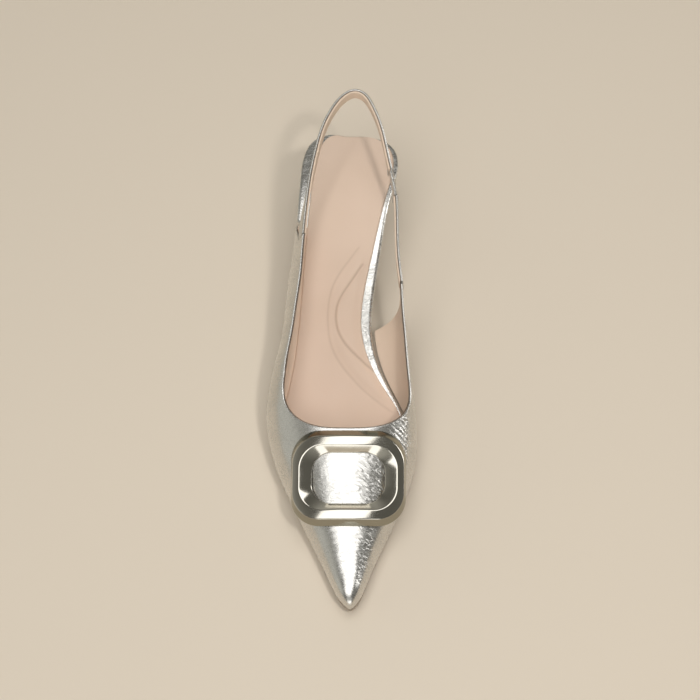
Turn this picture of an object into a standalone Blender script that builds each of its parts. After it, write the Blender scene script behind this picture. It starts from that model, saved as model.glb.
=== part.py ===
"""Pointed slingback pump with a kitten heel, made for a right foot.

Stations run along the shoe from the toe tip to the seat of the heel. x runs across it, with the inner
side of the foot at +x, and z runs up from the floor. Sizes are millimetres until a mesh is made.
The tables are drawn at the sample size and graded to the driving dimensions.
"""

import math
from collections import namedtuple

import bmesh
import bpy
import numpy as np
from mathutils import Euler

METRES = 0.001
OUTER = -1.0
INNER = 1.0

# Driving dimensions
SHOE_LENGTH = 250.0
BALL_WIDTH = 78.5
INSTEP_HEIGHT = 47.0
HEEL_PITCH = 49.7
TOE_SPRING = 5.0
UPPER_WALL = 1.6
GAP = 0.3
SAMPLE_LENGTH = 250.0
SAMPLE_BALL_WIDTH = 78.5
SAMPLE_INSTEP = 47.0
LENGTH_GRADE = SHOE_LENGTH / SAMPLE_LENGTH
WIDTH_GRADE = BALL_WIDTH / SAMPLE_BALL_WIDTH
HEIGHT_GRADE = INSTEP_HEIGHT / SAMPLE_INSTEP

# The part's origin, under the middle of its box
ORIGIN_ACROSS = -5.8
ORIGIN_STATION = 124.6

# Bottom of the last: toe spring, flat tread under the ball, then the rise to the seat
TREAD_FRONT = 46.0
TREAD_REAR = 84.0
SEAT_FRONT = 232.0
NOSE_ROUND = 8.0
NOSE_CLOSE = 10.0
SEAT_ROUND = 24.0
SEAT_CENTRE = -2.5
TOE_TIP = -1.8
FEATHER_LAG = 1.3
FEATHER_FRONT = TOE_TIP + FEATHER_LAG
FEATHER_FADE = 60.0

# Sole, board and sock
SOLE_THICK = 3.0
WAIST_THIN = 0.8
WAIST_LENGTH = 60.0
BREAST = 206.0
SOLE_SHOW = 0.5
SOLE_TUCK = 4.0
TUCK_FRONT = 135.0
TUCK_REAR = 165.0
BOARD_THICK = 3.5
BOARD_FRONT = 10.0
BOARD_REAR = 251.0
BOARD_INSET = UPPER_WALL + GAP
RIM_FRONT = 199.5
RIM_STEP = 2.5
SOCK_THICK = 1.2
SOCK_FRONT = 14.0
SOCK_REAR = 250.0

# Throat and wings of the upper
THROAT_REAR = 115.0
THROAT_DEPTH = 29.3
THROAT_SQUARE = 2.8
BELLY = 0.35
THROAT_CROWD = 2.2
TOE_CROWD = 1.5
Wing = namedtuple("Wing", "back corner strap_end")
WINGS = {OUTER: Wing(183.0, 15.5, 183.0), INNER: Wing(150.0, 9.0, 161.0)}
BACK_CURVE = 1.5
BACK_CROWD = 0.5
SLANT_TOP = 0.92
SLANT_FOOT = 0.08
TAIL_BUTT = 0.6

# Strap, gore and their ribbon
STRAP_HEIGHT = 6.5
STRAP_THICK = 1.8
LEAN_LENGTH = 40.0
GORE_REAR = 211.7
GORE_LENGTH = 12.4
GORE_HEIGHT = 5.6
GORE_THICK = 2.2

# Heel and its tip
HEEL_SHY = 0.5
HEEL_TOP_REAR = 250.5
TIP_HEIGHT = 5.2

# Buckle ring
RING_STATION = 60.6
RING_ACROSS = -1.2
RING_BEND = 90.0
RING_CORNER_STEPS = 8
RING_SIDE_STEPS = 6
RING_REACH = 25.0

# Mesh density
THROAT_RIBS = 24
WING_RIBS = 8
CORNER_RIBS = 8
TURN_STEP = 0.004
STATION_STEP = 0.3
RIB_STEPS = 16
RIB_CROWD = 1.5
DENSE = 80
SLAB_STATIONS = 40
HEEL_STATIONS = 18
HEEL_ROWS = 12
STRAP_SECTIONS = 56
GORE_SECTIONS = 8
INNER_SECTIONS = 16
ROUTE_STEPS = 600
RING_UNDER_ROWS = 7
SHARP_DEGREES = 35.0
MERGE_DISTANCE = 2.0e-6
SLIVER_DISTANCE = 1.0e-6
LEAST_REACH = 0.001

# Feather line, where the upper meets the sole: half widths on the outer and inner side
Outline = namedtuple("Outline", "station outer inner")
FEATHER_LINE = [
    Outline(-2, 2.6, 2.6),
    Outline(12, 8.6, 7.0),
    Outline(25, 14.4, 11.8),
    Outline(40, 21.7, 18.2),
    Outline(58, 30.2, 25.4),
    Outline(72, 36.0, 29.4),
    Outline(85, 39.8, 30.8),
    Outline(98, 41.6, 30.0),
    Outline(110, 41.0, 27.4),
    Outline(122, 38.8, 20.9),
    Outline(135, 36.5, 14.6),
    Outline(148, 34.8, 11.6),
    Outline(165, 33.0, 12.7),
    Outline(180, 31.9, 15.4),
    Outline(196, 30.7, 18.2),
    Outline(212, 29.7, 21.4),
    Outline(226, 28.9, 24.6),
    Outline(252, 27.6, 26.2),
]

# Sections of the last: half widths at the widest line, the heights of that line and of the crown
# above the feather line, and the fullness of the curve between them (2 is an ellipse)
Section = namedtuple(
    "Section", "station wide_out wide_in rise_out rise_in crown_out crown_in full_out full_in"
)
SECTIONS = [
    Section(-2, 3.2, 3.2, 3.0, 3.0, 10.6, 10.6, 2.5, 2.5),
    Section(12, 10.2, 8.4, 4.0, 4.0, 14.0, 14.0, 2.6, 2.6),
    Section(25, 16.3, 13.4, 5.0, 5.0, 18.8, 18.8, 2.6, 2.6),
    Section(40, 23.8, 20.2, 6.5, 6.5, 24.0, 24.0, 2.5, 2.55),
    Section(58, 32.6, 27.8, 8.0, 8.5, 29.5, 29.5, 2.35, 2.4),
    Section(72, 38.8, 32.0, 9.5, 10.5, 33.6, 33.6, 2.3, 2.45),
    Section(85, 43.0, 33.6, 10.8, 13.0, 37.2, 37.2, 2.3, 2.6),
    Section(98, 45.2, 33.3, 12.2, 16.0, 42.0, 42.0, 2.4, 2.8),
    Section(110, 44.8, 32.2, 14.0, 20.0, 45.3, 45.3, 2.4, 2.9),
    Section(122, 42.4, 30.6, 15.4, 23.5, 46.4, 46.0, 2.4, 2.9),
    Section(135, 38.8, 29.0, 15.6, 26.5, 44.6, 43.8, 2.4, 2.9),
    Section(148, 36.5, 27.4, 13.6, 27.5, 43.4, 40.0, 2.2, 2.9),
    Section(165, 35.0, 26.2, 8.4, 26.5, 49.0, 36.2, 1.6, 2.9),
    Section(182, 32.6, 25.4, 4.2, 24.0, 64.0, 35.2, 1.35, 2.9),
    Section(200, 30.7, 24.6, 3.0, 22.0, 62.0, 35.0, 1.35, 2.9),
]

# Plan of the ridge, which leans to the outer side
Ridge = namedtuple("Ridge", "station across")
RIDGE = [Ridge(-2, 0.0), Ridge(40, -0.8), Ridge(86, -2.2), Ridge(115, -3.0), Ridge(200, -3.0)]

# Height of the wings' top line above the floor
Topline = namedtuple("Topline", "station outer inner")
WING_TOPLINE = [
    Topline(115, 43.5, 39.5),
    Topline(138, 51.0, 49.0),
    Topline(163, 61.4, 60.3),
    Topline(190, 75.5, 73.8),
]

# Margin of bare board round the sock
SOCK_MARGIN = [
    Outline(0, 0.4, 0.4),
    Outline(90, 0.4, 0.4),
    Outline(115, 2.2, 2.7),
    Outline(137, 3.2, 4.8),
    Outline(158, 3.4, 5.5),
    Outline(188, 4.0, 3.8),
    Outline(218, 4.8, 2.5),
    Outline(252, 6.2, 2.4),
]

# Upper edge of the strap from the outer wing round the back to the inner wing
Waypoint = namedtuple("Waypoint", "across station top")
STRAP_ROUTE = [
    Waypoint(-22.9, 199.0, 80.4),
    Waypoint(-21.0, 210.0, 87.0),
    Waypoint(-18.2, 221.0, 93.4),
    Waypoint(-14.7, 231.5, 98.4),
    Waypoint(-9.1, 241.6, 102.0),
    Waypoint(-3.4, 247.5, 103.9),
    Waypoint(1.7, 249.3, 104.5),
    Waypoint(6.3, 247.5, 104.0),
    Waypoint(10.2, 242.3, 102.4),
    Waypoint(13.2, 236.4, 100.0),
    Waypoint(16.4, 227.4, 95.2),
    Waypoint(19.0, 217.0, 89.6),
    Waypoint(22.2, 204.0, 81.8),
    Waypoint(23.2, 190.0, 73.8),
    Waypoint(23.9, 173.0, 65.0),
]

# Heel from its seat (drop 0) to the tip (drop 1)
HeelRow = namedtuple("HeelRow", "drop front rear half")
HEEL_ROWS_TABLE = [
    HeelRow(0.0, 206.0, 250.5, 26.0),
    HeelRow(0.12, 212.0, 248.0, 21.5),
    HeelRow(0.25, 217.5, 245.6, 16.6),
    HeelRow(0.45, 223.0, 242.4, 11.2),
    HeelRow(0.7, 226.5, 240.2, 7.6),
    HeelRow(1.0, 228.5, 239.5, 5.6),
]

# Edges of the buckle ring from its base over the face to the opening
RingEdge = namedtuple("RingEdge", "wide long corner level")
RING_EDGES = [
    RingEdge(59.4, 49.6, 15.0, 0.0),
    RingEdge(57.4, 42.4, 14.0, 4.2),
    RingEdge(50.4, 33.4, 12.0, 4.2),
    RingEdge(37.5, 26.2, 10.0, 0.9),
    RingEdge(37.5, 26.2, 10.0, 0.0),
]


def natural_curve(places, values):
    """The natural cubic spline through the values, as a function that holds its ends."""
    places = np.asarray(places, float)
    values = np.asarray(values, float)
    gaps = np.diff(places)
    slopes = np.diff(values) / gaps
    bend = np.zeros(len(places))
    inner = np.diag(2.0 * (gaps[:-1] + gaps[1:]))
    inner += np.diag(gaps[1:-1], 1) + np.diag(gaps[1:-1], -1)
    bend[1:-1] = np.linalg.solve(inner, 6.0 * np.diff(slopes))

    def value(at):
        at = np.clip(np.asarray(at, float), places[0], places[-1])
        k = np.clip(np.searchsorted(places, at, side="right") - 1, 0, len(gaps) - 1)
        left = at - places[k]
        right = places[k + 1] - at
        cubic = (bend[k] * right**3 + bend[k + 1] * left**3) / (6.0 * gaps[k])
        from_left = (values[k] / gaps[k] - bend[k] * gaps[k] / 6.0) * right
        from_right = (values[k + 1] / gaps[k] - bend[k + 1] * gaps[k] / 6.0) * left
        return cubic + from_left + from_right

    return value


def column(rows, name, grade=1.0):
    """One column of a station table as a smooth function of station."""
    stations = [row.station * LENGTH_GRADE for row in rows]
    return natural_curve(stations, [getattr(row, name) * grade for row in rows])


FEATHER = {
    OUTER: column(FEATHER_LINE, "outer", WIDTH_GRADE),
    INNER: column(FEATHER_LINE, "inner", WIDTH_GRADE),
}
WIDE = {
    OUTER: column(SECTIONS, "wide_out", WIDTH_GRADE),
    INNER: column(SECTIONS, "wide_in", WIDTH_GRADE),
}
RISE = {
    OUTER: column(SECTIONS, "rise_out", HEIGHT_GRADE),
    INNER: column(SECTIONS, "rise_in", HEIGHT_GRADE),
}
FULL = {OUTER: column(SECTIONS, "full_out"), INNER: column(SECTIONS, "full_in")}
CROWN = {
    OUTER: column(SECTIONS, "crown_out", HEIGHT_GRADE),
    INNER: column(SECTIONS, "crown_in", HEIGHT_GRADE),
}
RIDGE_ACROSS = column(RIDGE, "across", WIDTH_GRADE)
TOPLINE = {OUTER: column(WING_TOPLINE, "outer"), INNER: column(WING_TOPLINE, "inner")}
MARGIN = {OUTER: column(SOCK_MARGIN, "outer"), INNER: column(SOCK_MARGIN, "inner")}


def eased(share):
    """A smooth step from 0 to 1 that starts and ends level."""
    share = np.clip(share, 0.0, 1.0)
    return share**3 * (10.0 - 15.0 * share + 6.0 * share**2)


def last_bottom(station):
    """Height of the last's underside, where the feather line runs."""
    spring = TOE_SPRING * np.clip(1.0 - station / TREAD_FRONT, 0.0, 1.0) ** 2
    pitch = HEEL_PITCH * eased((station - TREAD_REAR) / (SEAT_FRONT - TREAD_REAR))
    return SOLE_THICK + GAP + spring + pitch


def nose(station, front):
    """Share of the full width near a rounded front end."""
    share = np.clip((station - front) / NOSE_ROUND, 0.0, 1.0)
    return np.sqrt(share * (2.0 - share))


def feather_across(side, station, inset=0.0, front=FEATHER_FRONT):
    return side * (FEATHER[side](station) - inset) * nose(station, front)


def widest_across(side, station):
    return side * WIDE[side](station) * nose(station, TOE_TIP)


def widest_height(side, station):
    return last_bottom(station) + RISE[side](station)


def ridge_height(side, station):
    """Height of the ridge, which drops to the widest line at the toe tip."""
    low = widest_height(side, station)
    short = np.clip(1.0 - (station - TOE_TIP) / NOSE_CLOSE, 0.0, 1.0)
    return low + (last_bottom(station) + CROWN[side](station) - low) * np.sqrt(1.0 - short**2)


def upper_height(side, across, station):
    """Height of the upper's outside above its widest line: a superellipse over each half section."""
    ridge = RIDGE_ACROSS(station)
    reach = np.maximum(np.abs(widest_across(side, station) - ridge), LEAST_REACH)
    share = np.clip(np.abs(across - ridge) / reach, 0.0, 1.0)
    full = FULL[side](station)
    low = widest_height(side, station)
    return low + (ridge_height(side, station) - low) * (1.0 - share**full) ** (1.0 / full)


def topline_share(side, station):
    """Share of the half width at which the outside reaches the wing's top line."""
    low = widest_height(side, station)
    lift = (TOPLINE[side](station) - low) / (ridge_height(side, station) - low)
    full = FULL[side](station)
    return (1.0 - lift**full) ** (1.0 / full)


def share_across(side, station, share):
    ridge = RIDGE_ACROSS(station)
    return ridge + share * (widest_across(side, station) - ridge)


def throat_point(side, turn):
    """Plan of the throat at a turn from 0, its middle, to 1, its rear corner: half a squared oval."""
    angle = 0.5 * math.pi * turn**THROAT_CROWD
    power = 2.0 / THROAT_SQUARE
    station = THROAT_REAR - THROAT_DEPTH * max(math.cos(angle), 0.0) ** power
    share = topline_share(side, THROAT_REAR) * math.sin(angle) ** power
    return share_across(side, station, share), station


def rib(side, widest_station, top_across, top_station):
    """A line up the outside of the upper: feather line, belly, widest line, then over to the top."""
    lag = FEATHER_LAG * max(0.0, 1.0 - (widest_station - TOE_TIP) / FEATHER_FADE)
    foot_station = widest_station + lag
    foot_height = last_bottom(foot_station)
    foot = np.array([feather_across(side, foot_station), foot_station, foot_height])
    high = widest_height(side, widest_station)
    wide = np.array([widest_across(side, widest_station), widest_station, high])
    belly = np.array([wide[0], wide[1], foot_height + BELLY * (high - foot_height)])
    t = np.linspace(0.0, 1.0, DENSE)[:, None]
    lower = foot * (1.0 - t) ** 2 + belly * 2.0 * t * (1.0 - t) + wide * t**2
    over = t[1:] ** 2
    plan = wide[:2] * (1.0 - over) + np.array([top_across, top_station]) * over
    heights = upper_height(side, plan[:, 0], plan[:, 1])
    return np.vstack([lower, np.column_stack([plan, heights])])


def arc_lengths(points):
    steps = np.linalg.norm(np.diff(points, axis=0), axis=1)
    return np.concatenate([[0.0], np.cumsum(steps)])


def points_at(points, lengths, wanted):
    return np.column_stack([np.interp(wanted, lengths, points[:, k]) for k in range(3)])


def throat_rib(side, turn):
    """A rib of the vamp at a turn from 0, the toe's middle, to 1, the throat's rear corner."""
    widest_station = TOE_TIP + (THROAT_REAR - TOE_TIP) * turn**TOE_CROWD
    return rib(side, widest_station, *throat_point(side, turn))


def wing_rib(side, station):
    """A rib of a wing, straight across the shoe."""
    return rib(side, station, share_across(side, station, topline_share(side, station)), station)


def band_foot(line):
    """Arc position on a rib where the band begins that runs on as the strap."""
    return arc_lengths(line)[-1] - STRAP_HEIGHT


Span = namedtuple("Span", "station low high banded")


def wing_spans(side):
    """What stays of each rib of a wing, as shares of its length below the band, and whether the band
    stays. The inner wing loses its foot in a curve. The outer one loses its top in a slant."""
    wing = WINGS[side]
    whole = np.linspace(THROAT_REAR, wing.back, WING_RIBS + 1)[1:]
    spans = [Span(station, 0.0, 1.0, True) for station in whole]
    left = 1.0 - np.linspace(0.0, 1.0, CORNER_RIBS + 1)
    if side == OUTER:
        stations = wing.back + TAIL_BUTT / 2 + wing.corner * (1.0 - left)
        shares = SLANT_FOOT + (SLANT_TOP - SLANT_FOOT) * left
        return spans + [Span(station, 0.0, share, False) for station, share in zip(stations, shares)]
    stations = wing.back + wing.corner * (1.0 - left[1:] ** BACK_CROWD)
    shares = 1.0 - left[1:] ** BACK_CURVE
    spans += [Span(station, share, 1.0, True) for station, share in zip(stations, shares)]
    return spans + [Span(wing.strap_end, 1.0, 1.0, True)]


def wall_loop(line, before, after, start, end):
    """The outside of the wall up a rib, then its inside down again, square to the surface that the
    ribs before and after it give."""
    outward = np.cross(after - before, np.gradient(line, axis=0))
    outward /= np.linalg.norm(outward, axis=1)[:, None]
    lengths = arc_lengths(line)
    shares = np.linspace(0.0, 1.0, RIB_STEPS + 1) ** RIB_CROWD
    wanted = start + (end - start) * shares
    outside = points_at(line, lengths, wanted)
    inside = points_at(line - UPPER_WALL * outward, lengths, wanted)
    return np.vstack([outside, inside[::-1]])


def half_loops(side):
    """Loops of the wall on one side, from beside the toe's middle to the wing's tail."""
    loops = []
    for turn in np.linspace(0.0, 1.0, THROAT_RIBS + 1)[1:]:
        line = throat_rib(side, turn)
        near = throat_rib(side, turn - TURN_STEP)
        far = throat_rib(side, min(turn + TURN_STEP, 1.0))
        ends = (far, near) if side == OUTER else (near, far)
        loops.append(wall_loop(line, *ends, 0.0, arc_lengths(line)[-1]))
    for span in wing_spans(side):
        line = wing_rib(side, span.station)
        near = wing_rib(side, span.station - STATION_STEP)
        far = wing_rib(side, span.station + STATION_STEP)
        ends = (far, near) if side == OUTER else (near, far)
        band = STRAP_HEIGHT if span.banded else 0.0
        loops.append(wall_loop(line, *ends, span.low * band_foot(line), span.high * band_foot(line) + band))
    return loops


def upper_loops():
    """Loops of the wall from the outer wing's tail round the toe to the inner wing's tail."""
    middle = throat_rib(OUTER, 0.0)
    ends = (throat_rib(OUTER, TURN_STEP), throat_rib(INNER, TURN_STEP))
    toe = wall_loop(middle, *ends, 0.0, arc_lengths(middle)[-1])
    return [*half_loops(OUTER)[::-1], toe, *half_loops(INNER)]


def to_world(points):
    """Millimetres in the shoe's own stations to metres in the part's frame."""
    return (np.asarray(points, float) - [ORIGIN_ACROSS, ORIGIN_STATION, 0.0]) * METRES


def new_object(name, mesh, material, root):
    mesh.shade_smooth()
    mesh.set_sharp_from_angle(angle=math.radians(SHARP_DEGREES))
    mesh.materials.append(material)
    made = bpy.data.objects.new(name, mesh)
    made.parent = root
    bpy.context.scene.collection.objects.link(made)
    return made


def mesh_from_rows(name, rows, closed_along=False):
    """A mesh of quads between closed rows of points. Points that coincide are merged, so a row that
    is folded onto a line or a point closes the shape there."""
    count = len(rows[0])
    made = bmesh.new()
    grid = [[made.verts.new(point) for point in row] for row in rows]
    last_row = len(rows) if closed_along else len(rows) - 1
    for r in range(last_row):
        here = grid[r]
        after = grid[(r + 1) % len(rows)]
        for c in range(count):
            d = (c + 1) % count
            made.faces.new((here[c], after[c], after[d], here[d]))
    bmesh.ops.remove_doubles(made, verts=made.verts, dist=MERGE_DISTANCE)
    bmesh.ops.dissolve_degenerate(made, edges=made.edges, dist=SLIVER_DISTANCE)
    bmesh.ops.recalc_face_normals(made, faces=made.faces)
    mesh = bpy.data.meshes.new(name)
    made.to_mesh(mesh)
    made.free()
    return mesh


def slab_stations(front, rear, count):
    """Stations that crowd towards both ends."""
    turns = np.linspace(0.0, math.pi, count + 1)
    return front + (rear - front) * 0.5 * (1.0 - np.cos(turns))


def plan_loop(front, rear, inset, rounded_rear, steps=()):
    """A closed outline inside the feather line, with the middle line that pairs with it. Stations are
    added where the inset steps."""
    stations = np.union1d(slab_stations(front, rear, SLAB_STATIONS), steps)
    sides = []
    for side in (OUTER, INNER):
        across = feather_across(side, stations, inset(side, stations), front)
        if rounded_rear:
            late = np.clip(1.0 - (rear - stations) / SEAT_ROUND, 0.0, 1.0)
            across = SEAT_CENTRE + (across - SEAT_CENTRE) * np.cbrt(1.0 - late**3)
        sides.append(across)
    middle = 0.5 * (sides[0] + sides[1])
    around = np.concatenate([stations, stations[::-1]])
    edge = np.concatenate([sides[0], sides[1][::-1]])
    spine = np.concatenate([middle, middle[::-1]])
    return edge, spine, around


def slab_mesh(name, loop, low, high):
    """A slab over a plan outline, between two heights that follow the station."""
    edge, spine, stations = loop
    bottom = low(stations)
    top = high(stations)
    rows = [(spine, bottom), (edge, bottom), (edge, top), (spine, top)]
    return mesh_from_rows(name, [to_world(np.column_stack([x, stations, z])) for x, z in rows])


def sole_top(station):
    return last_bottom(station) - GAP


def sole_bottom(station):
    return sole_top(station) - SOLE_THICK + WAIST_THIN * eased((station - TREAD_REAR) / WAIST_LENGTH)


def sole_inset(side, station):
    """The sole shows a thin edge round the forefoot and is tucked under the waist."""
    return (SOLE_SHOW + SOLE_TUCK) * eased((station - TUCK_FRONT) / (TUCK_REAR - TUCK_FRONT)) - SOLE_SHOW


def board_inset(side, station):
    """The board lies inside the upper's wall, and behind the outer wing it comes out flush with it."""
    bare = eased((station - RIM_FRONT) / RIM_STEP) if side == OUTER else 0.0
    return np.full_like(station, BOARD_INSET) * (1.0 - bare)


def board_top(station):
    return last_bottom(station) + BOARD_THICK


def sock_inset(side, station):
    return BOARD_INSET + MARGIN[side](station)


def sock_bottom(station):
    return board_top(station) + GAP


def sock_top(station):
    return sock_bottom(station) + SOCK_THICK


def heel_rows():
    """Outlines of the heel from its seat down to the tip. The seat follows the board's pitch."""
    front, rear, half = (
        natural_curve([row.drop for row in HEEL_ROWS_TABLE], [getattr(row, name) for row in HEEL_ROWS_TABLE])
        for name in ("front", "rear", "half")
    )
    stations = slab_stations(BREAST, HEEL_TOP_REAR, HEEL_STATIONS)
    late = np.clip(1.0 - (HEEL_TOP_REAR - stations) / SEAT_ROUND, 0.0, 1.0)
    widths = []
    for side in (OUTER, INNER):
        inset = board_inset(side, stations) + HEEL_SHY
        across = side * (FEATHER[side](stations) - inset) - SEAT_CENTRE
        widths.append(across * np.cbrt(1.0 - late**3))
    along = (stations - BREAST) / (HEEL_TOP_REAR - BREAST)
    around = np.concatenate([along, along[::-1]])
    seat_across = np.concatenate([widths[0], widths[1][::-1]])
    seat_height = sole_top(np.concatenate([stations, stations[::-1]]))
    rows = []
    for drop in np.linspace(0.0, 1.0, HEEL_ROWS):
        low_height = TIP_HEIGHT + GAP
        rows.append(
            np.column_stack(
                [
                    SEAT_CENTRE + seat_across * half(drop) / HEEL_ROWS_TABLE[0].half,
                    front(drop) + around * (rear(drop) - front(drop)),
                    seat_height + (low_height - seat_height) * drop,
                ]
            )
        )
    return rows


def folded(row):
    """The middle line of an outline, which closes it when it is used as its next row."""
    return 0.5 * (row + row[::-1])


def upper_mesh():
    """One hollow wall, open at the throat and underneath, closed along the wings' tails."""
    loops = upper_loops()
    rows = [folded(loops[0]), *loops, folded(loops[-1])]
    return mesh_from_rows("upper", [to_world(row) for row in rows])


def heel_mesh():
    rows = heel_rows()
    return mesh_from_rows("heel", [to_world(row) for row in [folded(rows[0]), *rows, folded(rows[-1])]])


def tip_mesh():
    top = heel_rows()[-1] - [0.0, 0.0, GAP]
    bottom = top * [1.0, 1.0, 0.0]
    return mesh_from_rows("heel_tip", [to_world(row) for row in (folded(top), top, bottom, folded(bottom))])


def wing_end(side):
    """Middle of the wall's top edge where the strap begins, and how far the wall leans inwards there."""
    line = wing_rib(side, WINGS[side].strap_end)
    top = line[-1]
    foot = points_at(line, arc_lengths(line), [band_foot(line)])[0]
    lean = math.atan2(side * (foot[0] - top[0]), top[2] - foot[2])
    inwards = np.array([-side * math.cos(lean), 0.0, -math.sin(lean)])
    return top + 0.5 * UPPER_WALL * inwards, lean


def strap_route():
    """The strap's upper edge as a dense line, with its arc lengths and its lean along it."""
    outer_end, outer_lean = wing_end(OUTER)
    inner_end, inner_lean = wing_end(INNER)
    beyond = np.array([0.0, TAIL_BUTT, 0.0])
    guide = np.vstack([outer_end + beyond, np.array(STRAP_ROUTE), inner_end + beyond])
    chords = arc_lengths(guide)
    fine = np.linspace(0.0, chords[-1], ROUTE_STEPS)
    line = np.column_stack([natural_curve(chords, guide[:, k])(fine) for k in range(3)])
    lengths = arc_lengths(line)
    lean = outer_lean * (1.0 - eased(lengths / LEAN_LENGTH))
    lean = lean + inner_lean * (1.0 - eased((lengths[-1] - lengths) / LEAN_LENGTH))
    return line, lengths, lean


def gore_span(line, lengths):
    """Arc positions of the gore's two ends, on the inner side of the strap."""
    apex = int(np.argmax(line[:, 1]))
    inner_side = slice(apex, None)
    start = np.interp(-GORE_REAR, -line[inner_side, 1], lengths[inner_side])
    return start, start + GORE_LENGTH


def ribbon_mesh(name, start, end, height, thick, sections):
    """A flat band on edge along the strap's route between two arc positions."""
    line, lengths, lean = strap_route()
    wanted = np.linspace(start, end, sections)
    edge = points_at(line, lengths, wanted)
    slope = np.gradient(line, lengths, axis=0)
    along = points_at(slope, lengths, wanted)
    flat = np.linalg.norm(along[:, :2], axis=1)
    inwards = np.column_stack([along[:, 1], -along[:, 0], np.zeros(sections)]) / flat[:, None]
    tilt = np.interp(wanted, lengths, lean)[:, None]
    upright = np.array([0.0, 0.0, 1.0])
    up = upright * np.cos(tilt) + inwards * np.sin(tilt)
    through = inwards * np.cos(tilt) - upright * np.sin(tilt)
    spare = 0.5 * (STRAP_HEIGHT - height)
    tall = (height / flat)[:, None]
    top = edge - up * (spare / flat)[:, None]
    corners = [top - through * thick / 2, top + through * thick / 2]
    corners += [corners[1] - up * tall, corners[0] - up * tall]
    rows = list(np.stack(corners, axis=1))
    first = np.repeat(rows[0].mean(axis=0)[None], len(corners), axis=0)
    last = np.repeat(rows[-1].mean(axis=0)[None], len(corners), axis=0)
    return mesh_from_rows(name, [to_world(row) for row in [first, *rows, last]])


def rounded_rectangle(wide, long, corner):
    """A closed outline with round corners, from the front right corner on round."""
    arcs = []
    for k, (sx, sy) in enumerate(((1, -1), (1, 1), (-1, 1), (-1, -1))):
        turns = np.linspace(0.0, 0.5 * math.pi, RING_CORNER_STEPS) + 0.5 * math.pi * (k - 1)
        centre = np.array([sx * (0.5 * wide - corner), sy * (0.5 * long - corner)])
        arcs.append(centre + corner * np.column_stack([np.cos(turns), np.sin(turns)]))
    outline = []
    for arc, after in zip(arcs, arcs[1:] + arcs[:1]):
        outline += [arc, np.linspace(arc[-1], after[0], RING_SIDE_STEPS + 1)[1:-1]]
    return np.vstack(outline)


def ring_rows():
    """Edges of the buckle ring round its own middle, bent down a little to both sides."""
    rows = []
    for edge in RING_EDGES:
        outline = rounded_rectangle(edge.wide, edge.long, edge.corner)
        bend = outline[:, 0] ** 2 / (2.0 * RING_BEND)
        rows.append(np.column_stack([outline, edge.level - bend]))
    return rows


def ring_turn():
    """Rotation of the ring, tilted to the ridge's slope."""
    ends = np.array([RING_STATION - RING_REACH, RING_STATION + RING_REACH])
    heights = ridge_height(OUTER, ends)
    tilt = math.atan2(heights[1] - heights[0], ends[1] - ends[0])
    return Euler((tilt, 0.0, 0.0))


def ring_place():
    """Where the ring lies on the vamp, clear of the leather by the gap."""
    rows = ring_rows()
    shares = np.linspace(0.0, 1.0, RING_UNDER_ROWS)[:, None, None]
    under = (rows[0] * (1.0 - shares) + rows[-1] * shares).reshape(-1, 3)
    under = under @ np.array(ring_turn().to_matrix()).T
    across = RING_ACROSS + under[:, 0]
    station = RING_STATION + under[:, 1]
    sides = [upper_height(side, across, station) for side in (OUTER, INNER)]
    leather = np.where(across < RIDGE_ACROSS(station), *sides)
    lift = float(np.max(leather - under[:, 2])) + GAP
    return np.array([RING_ACROSS, RING_STATION, lift])


def finish(name, colour, roughness, metallic=0.0):
    """A Principled material with plain values."""
    material = bpy.data.materials.new(name)
    material.use_nodes = True
    shader = material.node_tree.nodes["Principled BSDF"]
    shader.inputs["Base Color"].default_value = (*colour, 1.0)
    shader.inputs["Roughness"].default_value = roughness
    shader.inputs["Metallic"].default_value = metallic
    return material


def build_bottom(root, silver, sock_leather, sole_leather):
    """Outsole, wrapped board and sock, which lie on each other."""
    sole = plan_loop(FEATHER_FRONT - SOLE_SHOW, BREAST - GAP, sole_inset, rounded_rear=False)
    rim_steps = (RIM_FRONT, RIM_FRONT + RIM_STEP)
    board = plan_loop(BOARD_FRONT, BOARD_REAR, board_inset, rounded_rear=True, steps=rim_steps)
    sock = plan_loop(SOCK_FRONT, SOCK_REAR, sock_inset, rounded_rear=True)
    new_object("outsole", slab_mesh("outsole", sole, sole_bottom, sole_top), sole_leather, root)
    new_object("insole_board", slab_mesh("insole_board", board, last_bottom, board_top), silver, root)
    new_object("sock_lining", slab_mesh("sock_lining", sock, sock_bottom, sock_top), sock_leather, root)


def build_heel(root, silver, tip_rubber):
    new_object("heel", heel_mesh(), silver, root)
    new_object("heel_tip", tip_mesh(), tip_rubber, root)


def build_strap(root, silver, elastic):
    """Sling strap, gore and inner strap, butted on one route."""
    line, lengths, _ = strap_route()
    gore_start, gore_end = gore_span(line, lengths)
    pieces = [
        ("sling_strap", 0.0, gore_start - GAP, STRAP_HEIGHT, STRAP_THICK, STRAP_SECTIONS, silver),
        ("elastic_gore", gore_start, gore_end, GORE_HEIGHT, GORE_THICK, GORE_SECTIONS, elastic),
        ("inner_strap", gore_end + GAP, lengths[-1], STRAP_HEIGHT, STRAP_THICK, INNER_SECTIONS, silver),
    ]
    for name, start, end, height, thick, sections, material in pieces:
        mesh = ribbon_mesh(name, start, end, height, thick, sections)
        new_object(name, mesh, material, root)


def build_ring(root, metal):
    rows = [row * METRES for row in ring_rows()]
    ring = new_object("buckle_ring", mesh_from_rows("buckle_ring", rows, closed_along=True), metal, root)
    ring.location = to_world(ring_place())
    ring.rotation_euler = ring_turn()


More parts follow.
